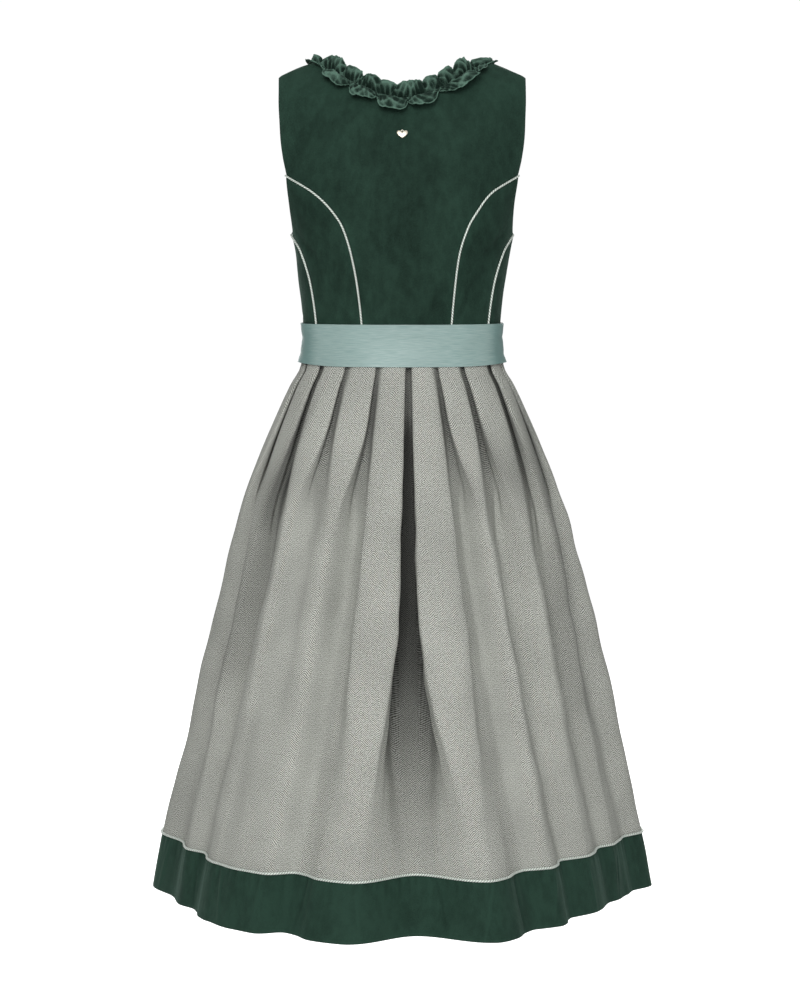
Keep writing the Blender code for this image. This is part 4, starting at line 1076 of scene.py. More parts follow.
CENTRE_X = table_curve(CENTRE_PLEAT, 1)
CENTRE_DEPTH = table_curve(CENTRE_PLEAT, 2)
PRESS_DEPTH = table_curve(PLEAT_PRESS, 1)


def fall_at(drop):
    return (drop - WAIST_DROP) / (HEM_DROP - WAIST_DROP)


def pleat_edges(oval, drop, pleats, shift):
    """Where the folded edges of one half lie at a drop, measured from its own centre."""
    turned_share = fall_at(drop) ** ANGLE_TURN
    edges = [oval.run_at_angle(blend(pleat[0], pleat[1], turned_share)) for pleat in pleats]
    edges[0] += shift
    return edges


def open_fold(is_centre, edge, before, end, middle, crown_share):
    """Where the points of one open fold lie and how deep: a soft trough round its edge."""
    if is_centre:
        crown = blend(edge, end, crown_share)
        shares = [(k + 0.9) / POINTS_PER_PLEAT for k in range(len(FOLD_POINTS))]
        return [(blend(middle, crown, f), 0.5 + 0.5 * math.cos(math.pi * f)) for f in shares]
    points = []
    for *_, share, depth in FOLD_POINTS:
        reach = (end - edge if share > 0 else edge - before) / 2
        points.append((edge + share * reach, depth))
    return points


def pleat_half(oval, drop, pleats, shift, side_run, centre_crown):
    """(run, out) of the cloth from one centre out to the side, at one drop.

    A fold's points move from where they are pressed flat to where they hang open.
    """
    edges = pleat_edges(oval, drop, pleats, shift)
    ends = edges[1:] + [blend(edges[-1], side_run, 2.0)]
    deepening = float(ease(fall_at(drop), DEPTH_START, DEPTH_END))
    swell = max(0.0, (drop - SWELL_DROP) / (HEM_DROP - SWELL_DROP))
    before = 2 * shift - edges[0]
    crown = pleats[0][4] * swell
    points = []
    for k, (pleat, edge, end) in enumerate(zip(pleats, edges, ends)):
        waist_angle, _, overlap, trough, next_crown, open_drop = pleat
        next_crown *= swell
        pressed = float(PRESS_DEPTH(drop)) * math.cos(math.radians(waist_angle))
        depth = float(CENTRE_DEPTH(drop)) if k == 0 else blend(PLEAT_DEPTH, trough, deepening) + pressed
        crown_share = centre_crown if k == 0 else 0.5
        opening = float(ease(drop, PLEAT_CLOSED_DROP if k else CENTRE_CLOSED_DROP, open_drop))
        opened = open_fold(k == 0, edge, before, end, shift, crown_share)
        for (of_overlap, past, closed_depth, share, _), (far, open_depth) in zip(FOLD_POINTS, opened):
            near = edge + of_overlap * overlap + past
            sink = blend(closed_depth, open_depth, opening)
            top = next_crown if share > 0 or k == 0 else crown
            points.append((blend(near, far, opening), blend(top, -depth, sink)))
        points.append((blend(edge, end, blend(CLOSED_CROWN, crown_share, opening)), next_crown))
        before = edge
        crown = next_crown
    points[-1] = (side_run, crown)
    return points


def skirt_line(drop, front, per_step):
    """The cloth's line at one drop for one half, from right side to left, and its depth."""
    oval = skirt_oval(drop)
    if front:
        ring = FrontFirst(oval)
        middle = 0.0
        reach = oval.front_run - oval.side_run
        left = pleat_half(ring, drop, FRONT_PLEATS, middle, reach, CENTRE_CROWN_LEFT)
        right = left
    else:
        ring = oval
        middle = float(CENTRE_X(drop))
        reach = oval.side_run
        left = pleat_half(ring, drop, BACK_PLEATS_LEFT, middle, reach, CENTRE_CROWN_LEFT)
        right = pleat_half(ring, drop, BACK_PLEATS_RIGHT, -middle, reach, CENTRE_CROWN_RIGHT)
    line = [(-run, out) for run, out in reversed(right)]
    line = np.array(line + [(middle, -float(CENTRE_DEPTH(drop)))] + left)
    line[0, 0] += SIDE_GAP / 2
    line[-1, 0] -= SIDE_GAP / 2
    curve = spline(np.column_stack((ring.point(line[:, 0], line[:, 1]), line[:, 1])), per_step)
    return np.column_stack((curve[:, :2], np.full(len(curve), -drop))), -curve[:, 2]


def skirt_lines(drops, front, per_step):
    """The lines at several drops and their depths, a row per drop."""
    lines = [skirt_line(drop, front, per_step) for drop in drops]
    return np.stack([line for line, _ in lines]), np.stack([depth for _, depth in lines])


def pleat_counts(front):
    """How many pleats a half has right and left of its centre."""
    return (len(FRONT_PLEATS),) * 2 if front else (len(BACK_PLEATS_RIGHT), len(BACK_PLEATS_LEFT))


def skirt_panels(front):
    """Where each visible panel starts, is highest and ends, in fold points from the right."""
    right, left = pleat_counts(front)
    middle = right * POINTS_PER_PLEAT
    last = middle + left * POINTS_PER_PLEAT
    crowns_right = [k * POINTS_PER_PLEAT for k in range(1, right)]
    crowns_left = [middle + k * POINTS_PER_PLEAT for k in range(1, left)]
    panels = [(0, 0, 2)]
    panels += [(crown - 1, crown, crown + 2) for crown in crowns_right]
    panels.append((middle - 1, middle, middle + 1))
    panels += [(crown - 2, crown, crown + 1) for crown in crowns_left]
    panels.append((last - 2, last, last))
    return panels


def flat_widths(grid, front, per_step):
    """How far across the flat cloth each point lies; folded cloth hides what its folds take.

    The two panels on the wearer's right stay true to their side; the others stay where the hem
    has them.
    """
    lengths = np.array([path_lengths(row) for row in grid])
    across = np.zeros(lengths.shape)
    panels = per_step * np.array(skirt_panels(front))
    crowns = panels[:, 1]
    columns = np.arange(grid.shape[1])
    for row, along in enumerate(lengths):
        places = np.where(np.arange(len(panels)) < 2, along[crowns], lengths[-1, crowns])
        value = places[:, None] + along[panels] - along[crowns][:, None]
        value = np.maximum.accumulate(value.ravel())
        across[row] = np.interp(columns, panels.ravel(), value)
        for (first, crown, end), at_crown in zip(panels, value[1::3]):
            inside = slice(first, end + 1)
            across[row, inside] = along[inside] + (at_crown - along[crown])
    return across - across.min()


# soft waves of the skirt besides its pleats, of the back's left and right and then of the
# front: angle from the centre back and drop, at one end and the other, width, depth
SKIRT_WAVES = (
    (12.0, 0.52, 15.0, 0.9, 0.016, 0.003), (20.0, 0.64, 19.0, 0.94, 0.012, -0.0028),
    (46.0, 0.56, 50.0, 0.92, 0.02, -0.0032), (56.0, 0.7, 55.0, 0.95, 0.016, 0.0026),
    (86.0, 0.48, 90.0, 0.93, 0.022, -0.003), (-14.0, 0.5, -19.0, 0.86, 0.016, 0.0032),
    (-24.0, 0.6, -24.0, 0.93, 0.013, -0.0028), (-38.0, 0.62, -39.0, 0.94, 0.015, 0.0026),
    (-53.0, 0.54, -55.0, 0.92, 0.02, -0.0034), (-72.0, 0.6, -76.0, 0.94, 0.017, -0.0026),
    (-88.0, 0.52, -92.0, 0.93, 0.024, 0.003), (165.0, 0.54, 162.0, 0.93, 0.018, 0.0032),
    (148.0, 0.56, 150.0, 0.95, 0.015, -0.003), (128.0, 0.6, 131.0, 0.93, 0.02, -0.0032),
    (108.0, 0.52, 106.0, 0.93, 0.022, 0.003), (-162.0, 0.56, -160.0, 0.92, 0.018, 0.003),
    (-149.0, 0.6, -151.0, 0.95, 0.016, -0.0032), (-133.0, 0.54, -130.0, 0.92, 0.018, 0.0028),
    (-112.0, 0.58, -109.0, 0.94, 0.022, -0.003),
)
WAVE_RADIUS = 0.0044
MIDDLE_WALL = 0.5
WAVE_FADES = (0.42, 0.60, 0.90, 0.966)
SKIRT_SWELLING = 1.6

# painted shade where the skirt turns away under its outer pleats: angle and drop at one end and
# the other, width, how much
PAINTED_SHADE_FALLS = (
    (58.0, 0.42, 70.0, 0.8, 0.03, 0.5), (53.0, 0.4, 64.0, 0.565, 0.011, 0.42),
    (-76.0, 0.4, -74.0, 0.82, 0.03, 0.52), (-81.0, 0.385, -77.0, 0.56, 0.01, 0.42),
)
CREASED_SHADE = 0.75
SLANT_OF_FALL = 0.32

# where the painted shade of the centre pleat and of the pressed folds begins and is full, in
# depth, and where it begins and ends to fade, in drop
CENTRE_SHADE = ((0.010, 0.026), (0.66, 1.05))
FOLD_SHADE_ZONE = ((0.0018, 0.0070), (0.40, 0.58))


def skirt_creases(middle, creases, radius):
    """The heights of creases that are placed by their angle round from the centre back."""
    angles = np.degrees(np.arctan2(middle[..., 0], middle[..., 1]))
    return crease_heights(angles, -middle[..., 2], creases, radius)


def skirt_shade(drops, middle, depth, front):
    """Painted shade on the weave: in the centre pleat, in pressed folds and under outer pleats."""
    down = drops[:, None]
    centre_column = pleat_counts(front)[0] * POINTS_PER_PLEAT * SKIRT_STEPS
    from_centre = np.abs(np.arange(middle.shape[1]) - centre_column)
    in_centre = from_centre < POINTS_PER_PLEAT * SKIRT_STEPS
    zones = (CENTRE_SHADE, FOLD_SHADE_ZONE)
    centre, creased = [ease(depth, *deep) * (1 - ease(down, *drop)) for deep, drop in zones]
    centre = in_centre * centre
    falls = skirt_creases(middle, PAINTED_SHADE_FALLS, WAVE_RADIUS)
    return np.clip(np.maximum(centre, CREASED_SHADE * creased) + falls, 0.0, 1.0)


def build_skirt(word, front):
    """One half of the pleated skirt, from the waist to the hem band."""
    drops = np.linspace(WAIST_DROP + SEAM_GAP / 2, HEM_SEAM_DROP - SEAM_GAP / 2, SKIRT_ROWS)
    middle, depth = skirt_lines(drops, front, SKIRT_STEPS)
    normals = faces_out(middle)
    waves = skirt_creases(middle, SKIRT_WAVES, WAVE_RADIUS) + SKIRT_SWELLING * swelling(middle)
    start, full, fading, end = WAVE_FADES
    fade = (ease(drops, start, full) * ease(-drops, -end, -fading))[:, None]
    grid = raised(middle, normals, waves * fade + MIDDLE_WALL * SKIRT_WALL)
    down = path_lengths(np.column_stack((drops, SLANT_OF_FALL * drops)))
    flat = flat_map(flat_widths(middle, front, SKIRT_STEPS), down[:, None])
    shade = skirt_shade(drops, middle, depth, front)
    name = f"herringbone_{word}"
    cloth(name, grid, normals, SKIRT_WALL, "skirt_herringbone", flat, shade, f"skirt_{word}")


# creases of the velvet hem band, of the back's left and right and then of the front: angle
# and drop, at one end and the other, width, depth
HEM_CREASES = (
    (11.0, 0.968, 9.5, 1.041, 0.0022, 0.0009), (24.0, 0.97, 27.0, 1.03, 0.003, -0.001),
    (35.5, 0.969, 37.0, 1.041, 0.002, 0.0008), (49.0, 0.972, 47.0, 1.041, 0.0035, 0.0009),
    (66.0, 0.969, 64.0, 1.035, 0.0025, -0.0009), (83.0, 0.971, 85.0, 1.041, 0.003, 0.0009),
    (-9.0, 0.97, -11.0, 1.032, 0.0028, -0.0009), (-21.5, 0.968, -18.5, 1.041, 0.002, 0.0012),
    (-29.0, 0.969, -31.0, 1.041, 0.0035, -0.001), (-43.0, 0.972, -40.0, 1.036, 0.0026, 0.0008),
    (-58.0, 0.969, -59.5, 1.041, 0.0028, 0.001), (-76.0, 0.97, -74.0, 1.041, 0.003, -0.0009),
    (172.0, 0.969, 170.0, 1.041, 0.0026, 0.0009), (157.0, 0.97, 159.0, 1.036, 0.003, -0.001),
    (139.0, 0.969, 141.0, 1.041, 0.0024, 0.001), (118.0, 0.972, 116.0, 1.041, 0.003, 0.0008),
    (99.0, 0.97, 101.0, 1.034, 0.0028, -0.0009), (-168.0, 0.969, -166.0, 1.041, 0.0022, 0.001),
    (-151.0, 0.97, -153.0, 1.041, 0.0032, -0.001), (-134.0, 0.969, -131.0, 1.038, 0.0024, 0.0009),
    (-115.0, 0.971, -117.0, 1.041, 0.0028, 0.0009), (-98.0, 0.969, -96.0, 1.041, 0.003, -0.0009),
)
HEM_RADIUS = 0.0050
HEM_SWELLING = 0.6
HEM_TOP_EASE = (-0.002, 0.008)

# the marks of the hem band: paler all over, on its creases and on its puckers (lighter on their
# ridges, painted shade in their troughs), and wear along its lower edge
HEM_WEAR_AND_SHADE = (0.70, 0.7, 0.5, 0.5)
HEM_CREASE_HEIGHT = 0.0009
HEM_PUCKER_HEIGHT = 0.0008
HEM_EDGE_REACH = 0.003

# puckers under the piping: waves in a metre of hem, shift, height
PUCKERS = (
    (88.0, 0.3, 0.0003), (61.0, 1.7, 0.00035), (137.0, 4.1, 0.00018),
)
PUCKER_DEPTH = 0.016


def build_hem_band(word, front):
    """The velvet band: down to the hem, and turned up inside it."""
    top = HEM_SEAM_DROP + SEAM_GAP / 2
    drops = np.linspace(top, HEM_DROP - HEM_WALL / 2, HEM_ROWS)
    middle, _ = skirt_lines(drops, front, HEM_STEPS)
    normals = faces_out(middle)
    along = path_lengths(middle[-1])
    creases = skirt_creases(middle, HEM_CREASES, HEM_RADIUS)
    puckers = sum(size * np.sin(2 * math.pi * count * along + shift) for count, shift, size in PUCKERS)
    puckers = puckers[None, :] * np.exp(-(drops - top) / PUCKER_DEPTH)[:, None]
    height = creases + puckers + HEM_SWELLING * swelling(middle)
    height = height * ease(drops - top, *HEM_TOP_EASE)[:, None] + MIDDLE_WALL * HEM_WALL
    face = raised(middle, normals, height)
    turn = []
    turned = []
    for k in range(1, HEM_TURN_ROWS + 1):
        share = k / HEM_TURN_ROWS
        at = (HEM_ROWS - 1) * (1 - HEM_TURN * share ** 1.5 / (drops[-1] - top))
        above = int(at)
        square = unit(blend(normals[above], normals[above + 1], at - above))
        inward = HEM_TURN_DEPTH * math.sin(math.pi / 2 * min(2 * share, 1.0))
        turn.append(blend(face[above], face[above + 1], at - above) - inward * square)
        turned.append(unit(square * (1 - 2 * float(ease(k, 0, 2))) + (0.0, 0.0, -float(k == 1))))
    grid = np.concatenate((face, np.array(turn)))
    facing = np.concatenate((normals, np.array(turned)))
    overall, on_creases, on_puckers, on_edge = HEM_WEAR_AND_SHADE
    # paler all over; painted shade in the troughs of creases and puckers, lighter on their ridges
    wear_and_painted_light = overall + on_creases * np.clip(creases / HEM_CREASE_HEIGHT, -0.5, 1.0)
    wear_and_painted_light += on_puckers * puckers / HEM_PUCKER_HEIGHT
    wear_and_painted_light += on_edge * np.exp((drops - HEM_DROP) / HEM_EDGE_REACH)[:, None]
    wear_and_painted_light = np.concatenate((wear_and_painted_light, np.repeat(wear_and_painted_light[-1:], HEM_TURN_ROWS, axis=0)))
    flat = flat_map(along, path_lengths(grid[:, 0])[:, None])
    name = f"velvet_hem_{word}"
    cloth(name, grid, facing, HEM_WALL * 0.5, "green_velvet", flat, wear_and_painted_light, f"hem_band_{word}")


HEM_PIPING_RADIUS = 0.0016
HEM_PIPING_TWIST = 0.0034
HEM_PIPING_DROP = 0.0004


def build_hem_piping(word, front):
    """Twisted cord over the seam between the skirt and the hem band."""
    path = even_path(skirt_line(HEM_SEAM_DROP, front, HEM_STEPS)[0], CORD_STEP)
    square = np.cross(unit(np.gradient(path, axis=0)), (0.0, 0.0, 1.0))
    if np.sum(square * path) < 0:
        square = -square
    centres = path + (HEM_PIPING_RADIUS + MIDDLE_WALL * SKIRT_WALL) * square
    centres[:, 2] -= HEM_PIPING_DROP
    ups = np.tile((0.0, 0.0, 1.0), (len(path), 1))
    name = f"hem_cord_{word}"
    round_cord(name, centres, ups, HEM_PIPING_RADIUS, HEM_PIPING_TWIST, f"hem_piping_{word}")


# ---------------------------------------------------------------- sash

SASH_COLUMNS = 520
SASH_ROWS = 22
SASH_LAP = 0.045
SASH_LIFT = 0.0007
SASH_STAND = 0.0020
SASH_RISE = 0.0030
SASH_SWELLING = 0.5
SASH_END_RAMP = (-0.02, -0.002)

# how far from the very side, in share of the half round: where the sash's stand begins and is
# full, and where its shade begins and is full
SASH_STAND_ZONE = (0.28, 0.05)
SASH_SHADE_ZONE = (0.19, 0.10)

# creases of the sash, of its two sides, the back and the front: way round and drop, at one end
# and the other, width, depth
SASH_CREASES = (
    (0.33, 0.334, 0.62, 0.338, 0.005, -0.001), (0.4, 0.358, 0.68, 0.355, 0.0045, -0.0008),
    (-0.36, 0.337, -0.6, 0.333, 0.0048, -0.0009), (-0.3, 0.356, -0.58, 0.36, 0.005, -0.001),
    (-0.2, 0.331, 0.12, 0.329, 0.004, 0.0005), (-0.1, 0.362, 0.24, 0.359, 0.0045, -0.0005),
    (0.78, 0.35, 0.94, 0.343, 0.0045, -0.0008), (-0.74, 0.341, -0.93, 0.348, 0.0045, -0.0009),
)


def sash_rings():
    """The ovals under the sash, top to bottom: ring, drop, cloth under it, share of its rise."""
    return (
        (torso_oval(level_at_drop(SASH_TOP_DROP)), SASH_TOP_DROP, 0.0, 0.0),
        (torso_oval(WAIST_LEVEL), WAIST_DROP, 0.0, 0.3),
        (skirt_oval(SASH_BOTTOM_DROP), SASH_BOTTOM_DROP, 0.0008, 1.0),
    )


def through_three(share, middle):
    """The weights of three rows, at 0, at middle and at 1, on a smooth curve through them."""
    first = (share - middle) * (share - 1) / middle
    second = share * (share - 1) / (middle * (middle - 1))
    third = share * (share - middle) / (1 - middle)
    return np.stack((first, second, third), axis=1)


def build_sash():
    """The band round the waist, its two ends lapped at the centre front."""
    rings = []
    ways = []
    for oval, drop, under, rise in sash_rings():
        start = oval.front_run - SASH_LAP / 2
        length = 2 * oval.front_run + SASH_LAP
        along = np.linspace(0.0, length, SASH_COLUMNS + 1)
        over = ease(along - (length - SASH_LAP), *SASH_END_RAMP)
        way = ((start + along) / oval.front_run + 1) % 2 - 1
        aside = ease(np.abs(np.abs(way) - 0.5), *SASH_STAND_ZONE)
        out = under + SASH_LIFT + SASH_WALL + over * (SASH_WALL + SASH_LIFT) + SASH_STAND * aside
        points = oval.point(start + along, out)
        rings.append(np.column_stack((points, rise * SASH_RISE * aside - drop)))
        ways.append(way)
    share = np.linspace(0.0, 1.0, SASH_ROWS)
    drops = blend(SASH_TOP_DROP, SASH_BOTTOM_DROP, share)[:, None]
    middle = (WAIST_DROP - SASH_TOP_DROP) / (SASH_BOTTOM_DROP - SASH_TOP_DROP)
    grid = np.tensordot(through_three(share, middle), np.array(rings), axes=(1, 0))
    way = np.broadcast_to(ways[1], (SASH_ROWS, SASH_COLUMNS + 1))
    normals = faces_out(grid)
    creases = crease_heights(way, drops + 0 * way, SASH_CREASES, HALF_ROUND)
    grid = raised(grid, normals, creases + SASH_SWELLING * np.abs(swelling(grid)))
    flat = flat_map(path_lengths(grid[SASH_ROWS // 2]), drops)
    # painted shade round the sash's sides
    wear_and_painted_light = ease(np.abs(np.abs(way) - 0.5), *SASH_SHADE_ZONE)
    cloth("taffeta_sash", grid, normals, SASH_WALL, "sash_taffeta", flat, wear_and_painted_light, "sash")


# ---------------------------------------------------------------- neck ruffle

RUFFLE_COLUMNS = 900
RUFFLE_ROWS = 35
RUFFLE_FULLNESS = 1.7
RUFFLE_BELOW_EDGE = 0.0016
RUFFLE_BELOW_FRONT = 0.0048
RUFFLE_STRIDE = 0.006
EDGE_ROLL = 0.0009

# the upper and the lower puffs: how many, where their pattern starts, width of the strip, how
# far their valleys draw in, how far their sides curl round
UPPER_PUFFS = (25, 0.5, 0.0130, 0.15, 0.12)
LOWER_PUFFS = (18, 5.0, 0.0200, 0.70, 0.09)

# over the shoulders the ruffle stands up and shrinks: distance from the centre line where that
# starts and is full, its angle, the height it loses, upper and lower, and the width it loses,
# upper and lower, first on the wearer's right and then on the left
RISE_START = 0.078
RISE_END = 0.110
RISE_ANGLE = 0.65
RISE_HEIGHT_LOSS = (0.60, 0.68)
RISE_WIDTH_LOSS = {"right": (0.62, 0.84), "left": (0.40, 0.66)}

# how full, how long and how far aside each gathered puff falls, in turn along the neck
PUFF_FULLNESS = (1.0, 0.72, 1.12, 0.84, 0.95, 1.18, 0.66, 1.05, 0.88, 1.22, 0.78)
PUFF_LENGTH = (0.2, -0.5, 0.6, -0.2, 0.9, -0.7, 0.1, 0.7, -0.4, 0.5, -0.1, 0.8, -0.6)
PUFF_LEAN = (0.5, -0.3, 0.8, 0.1, -0.6, 0.4, -0.8, 0.7, -0.1)
PUFF_BASE = 0.0004
PUFF_THICKNESS = 0.0020
PUFF_HEIGHT = 0.0108
PUFF_SHOULDER = 0.0030
PUFF_ARCH = 0.60

# painted light of the ruffle: its rim's painted highlight, reach and amount, the puffs' painted
# light above and below, the ridge height that counts as one, and painted shade taken off all over
RUFFLE_PAINTED_LIGHT = (0.035, 2.3, 0.7, 0.40, 0.0021, 1.02)
ROLL_REACH = 0.05
LOWER_ZONE = 0.12
LOWER_RISE_LOSS = 0.75
FRONT_DEPTH = 0.03

# crumples of the gathered velvet: pitch, slant across the strip, bend, height
CRUMPLES = (
    (0.0092, 0.95, 0.0045, 0.0026), (0.0118, -0.8, 0.006, 0.0026), (0.0066, 0.3, 0.003, 0.0013),
)

NECK_STEPS = 60
NECK_LEFT_END = FRONT_LAP + 0.0035
NECK_RIGHT_END = FRONT_LAP - 0.0045


def neckline():
    """Level and run of the neckline, from the left of the centre front round to the right."""
    turn = math.pi / 2 * np.arange(NECK_STEPS + 1) / NECK_STEPS
    half_turn = math.pi * np.arange(1, 2 * NECK_STEPS) / (2 * NECK_STEPS)
    stretches = (
        (blend(NECK_LEFT_END, NECK_POINT_X, np.sin(turn)), front_neck_level, True),
        (NECK_POINT_X * np.cos(half_turn), back_neck_level, False),
        (blend(NECK_POINT_X, -NECK_RIGHT_END, 1 - np.cos(turn)), front_neck_level, True),
    )
    levels = []
    runs = []
    for part, (places, neck, front) in enumerate(stretches):
        for x in places:
            level = float(neck(x))
            oval = torso_oval(level)
            run = oval.run_at_x(abs(x), front)
            if part == 1:
                run = math.copysign(run, x)
            elif part == 2:
                run = -run if x > 0 else run - 2 * oval.front_run
            levels.append(level)
            runs.append(run)
    return np.array(levels), np.array(runs)


def ruffle_stations():
    """Even steps along the neckline: points, outward, forward and up directions, length."""
    level, run = neckline()
    points = torso_surface(level, run)
    outwards = torso_frame(np.maximum(level, 0.001), run)[1]
    lengths = path_lengths(points)
    at = np.linspace(0.0, lengths[-1], RUFFLE_COLUMNS + 1)
    before = along_path(points, lengths, at - RUFFLE_STRIDE)
    forward = unit(along_path(points, lengths, at + RUFFLE_STRIDE) - before)
    outward = along_path(outwards, lengths, at)
    outward = unit(outward - np.sum(outward * forward, axis=1, keepdims=True) * forward)
    spots = along_path(points, lengths, at)
    return spots, outward, forward, np.cross(outward, forward), float(lengths[-1])


def puff_values(values, phase):
    """One value for each puff in turn, blended softly from one to the next."""
    values = np.array(values)
    k = np.floor(phase).astype(int)
    share = ease(phase - k, 0.0, 1.0)
    return blend(values[k % len(values)], values[(k + 1) % len(values)], share)


def puffs(count, start, width, tuck, curl, columns, reach, length):
    """Height, slip along the neck, length, roundness and width of puffs with tight valleys."""
    even = np.linspace(0.0, count, columns)
    uneven = 0.17 * np.sin(2 * math.pi * even / 3.7 + start) + 0.10 * np.sin(2 * math.pi * even / 2.3)
    phase = even + uneven
    turn = 2 * math.pi * phase[None, :]
    full = puff_values(PUFF_FULLNESS, phase + start)[None, :]
    long = puff_values(PUFF_LENGTH, phase + start + 3.5)[None, :]
    lean = puff_values(PUFF_LEAN, phase + start + 7.5)[None, :]
    swell = (0.5 - 0.5 * np.cos(turn)) ** 0.55
    body = np.sin(np.clip(reach, 0.0, 1.0) * math.pi * PUFF_ARCH)
    height = PUFF_BASE + (PUFF_THICKNESS + PUFF_HEIGHT * swell * full) * body
    height = height + PUFF_SHOULDER * swell * (1 - reach) * ease(reach, 0.0, 0.3)
    gap = (0.5 + 0.5 * np.cos(turn)) ** 2.5
    slip = length / count * (-curl * np.sin(turn) + 0.25 * lean * swell) * reach ** 1.2
    long = 1 + (0.20 * tuck - tuck * gap + 0.12 * long + 0.30 * tuck * lean * np.sin(turn)) * reach
    return height, slip, long, swell * body, width


def crumples(along, across):
    """Sharp irregular ridges of crumpled velvet that cross the strip at a slant."""
    heights = np.zeros(np.broadcast_shapes(along.shape, across.shape))
    for k, (pitch, slant, bend, height) in enumerate(CRUMPLES):
        bent = bend * np.sin(2 * math.pi * along / (4.3 * pitch) + 1.9 * k)
        place = (along + slant * across + bent) / pitch
        patchy = 0.5 + 0.5 * np.sin(2 * math.pi * along / (2.7 * pitch) + 60.0 * across + 2.3 * k)
        ridge = (1 - np.abs(np.sin(math.pi * place))) ** 1.6
        heights += height * (0.35 + 0.65 * patchy) * ridge
    return heights


def build_ruffle():
    """A strip gathered along its middle: both free edges stand out in uneven puffs."""
    spots, outward, forward, up, length = ruffle_stations()
    columns = len(spots)
    across = np.linspace(1.0, -1.0, RUFFLE_ROWS)[:, None]
    reach = np.abs(across)
    lower = ease(-across, -LOWER_ZONE, LOWER_ZONE)
    pairs = zip(*[puffs(*rows, columns, reach, length) for rows in (UPPER_PUFFS, LOWER_PUFFS)])
    height, slip, long, bright, strip = [blend(high, low, lower) for high, low in pairs]
    along = np.linspace(0.0, length, columns)[None, :]
    ridges = crumples(along, across * strip)
    rising = ease(np.abs(spots[:, 0]), RISE_START, RISE_END)[None, :]
    height = (height + ridges * ease(reach, 0.0, 0.2)) * (1 - blend(*RISE_HEIGHT_LOSS, lower) * rising)
    right, left = [blend(*RISE_WIDTH_LOSS[word], lower) for word in ("right", "left")]
    width = strip * reach * long * (1 - np.where(spots[:, 0] < 0, right, left) * rising)
    angle = RISE_ANGLE * rising * (1 - LOWER_RISE_LOSS * lower)
    spread_up = (np.sign(across) * width * np.cos(angle))[..., None] * up[None]
    spread_out = (height + width * np.sin(angle))[..., None] * outward[None]
    below = blend(RUFFLE_BELOW_EDGE, RUFFLE_BELOW_FRONT, ease(-spots[:, 1:2], 0.0, FRONT_DEPTH))
    grid = (spots - below * up)[None] + spread_up + spread_out + slip[..., None] * forward[None]
    normals = faces_out(grid, np.broadcast_to(outward[None], grid.shape))
    grid = raised(grid, normals, EDGE_ROLL * hump(1 - reach, ROLL_REACH))
    rim_reach, rim, above, under, ridge_height, darkening = RUFFLE_PAINTED_LIGHT
    # painted highlight along the rim, on the puffs' crests and on the crumpled ridges, and painted shade in
    # the valleys
    wear_and_painted_light = rim * hump(1 - reach, rim_reach) + blend(above, under, lower) * bright
    wear_and_painted_light += ridges / ridge_height - darkening
    flat = flat_map(along * RUFFLE_FULLNESS, -across * strip)
    cloth("gathered_neck_ruffle", grid, normals, RUFFLE_WALL, "ruffle_velvet", flat, wear_and_painted_light, "neck_ruffle")


# ---------------------------------------------------------------- buttons and charm

BUTTON_COUNT = 7
BUTTON_FIRST_DROP = 0.135
BUTTON_LAST_DROP = 0.305
BUTTON_SIDES = 60
BUTTON_RIBS = (20, 0.06)
# a button's profile, from the cloth over its edge to its dimple: radius, height
BUTTON_PROFILE = (
    (0.0, 0.0006), (0.0042, 0.0006), (0.0057, 0.0009), (0.0061, 0.0015), (0.0058, 0.0021),
    (0.005, 0.0026), (0.0038, 0.0029), (0.0022, 0.003), (0.0009, 0.0026), (0.0, 0.0024),
)
BUTTONHOLE_LENGTH = 0.017
BUTTONHOLE_HALF_WIDTH = 0.0010
BUTTONHOLE_OFFSET = 0.0045
BUTTONHOLE_POINTS = 48
THREAD_RADIUS = 0.00032
THREAD_HEIGHT = 0.0004


def turned(name, profile, sides, place, ribs, replaced):
    """A ribbed round piece: rings of (radius, height) on the cloth, closed where the radius is 0."""
    centre, outward, along, up = place
    count, depth = ribs
    turn = turns(sides)
    spoke = np.cos(turn)[:, None] * along + np.sin(turn)[:, None] * up
    reach = (1 - depth * (0.5 - 0.5 * np.cos(count * turn)))[:, None] * spoke
    points = np.concatenate([centre + height * outward + radius * reach for radius, height in profile])
    piece = new_object(name, points, ring_faces(len(profile), sides), "green_thread")
    weld = piece.modifiers.new("weld", "WELD")
    weld.merge_threshold = 0.00001
    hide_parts(replaced)


def closed_cord(points, ups, radius, sides=8):
    """Points and faces of a cord whose ends meet."""
    along = unit(np.roll(points, -1, axis=0) - np.roll(points, 1, axis=0))
    spots = ring_points(points, along, ups, radius, sides)
    index = np.arange(len(spots)).reshape(len(points), sides)
    below = np.roll(index, -1, axis=0)
    faces = np.stack((index, np.roll(index, -1, axis=1), np.roll(below, -1, axis=1), below), axis=-1)
    return spots, faces.reshape(-1, 4)


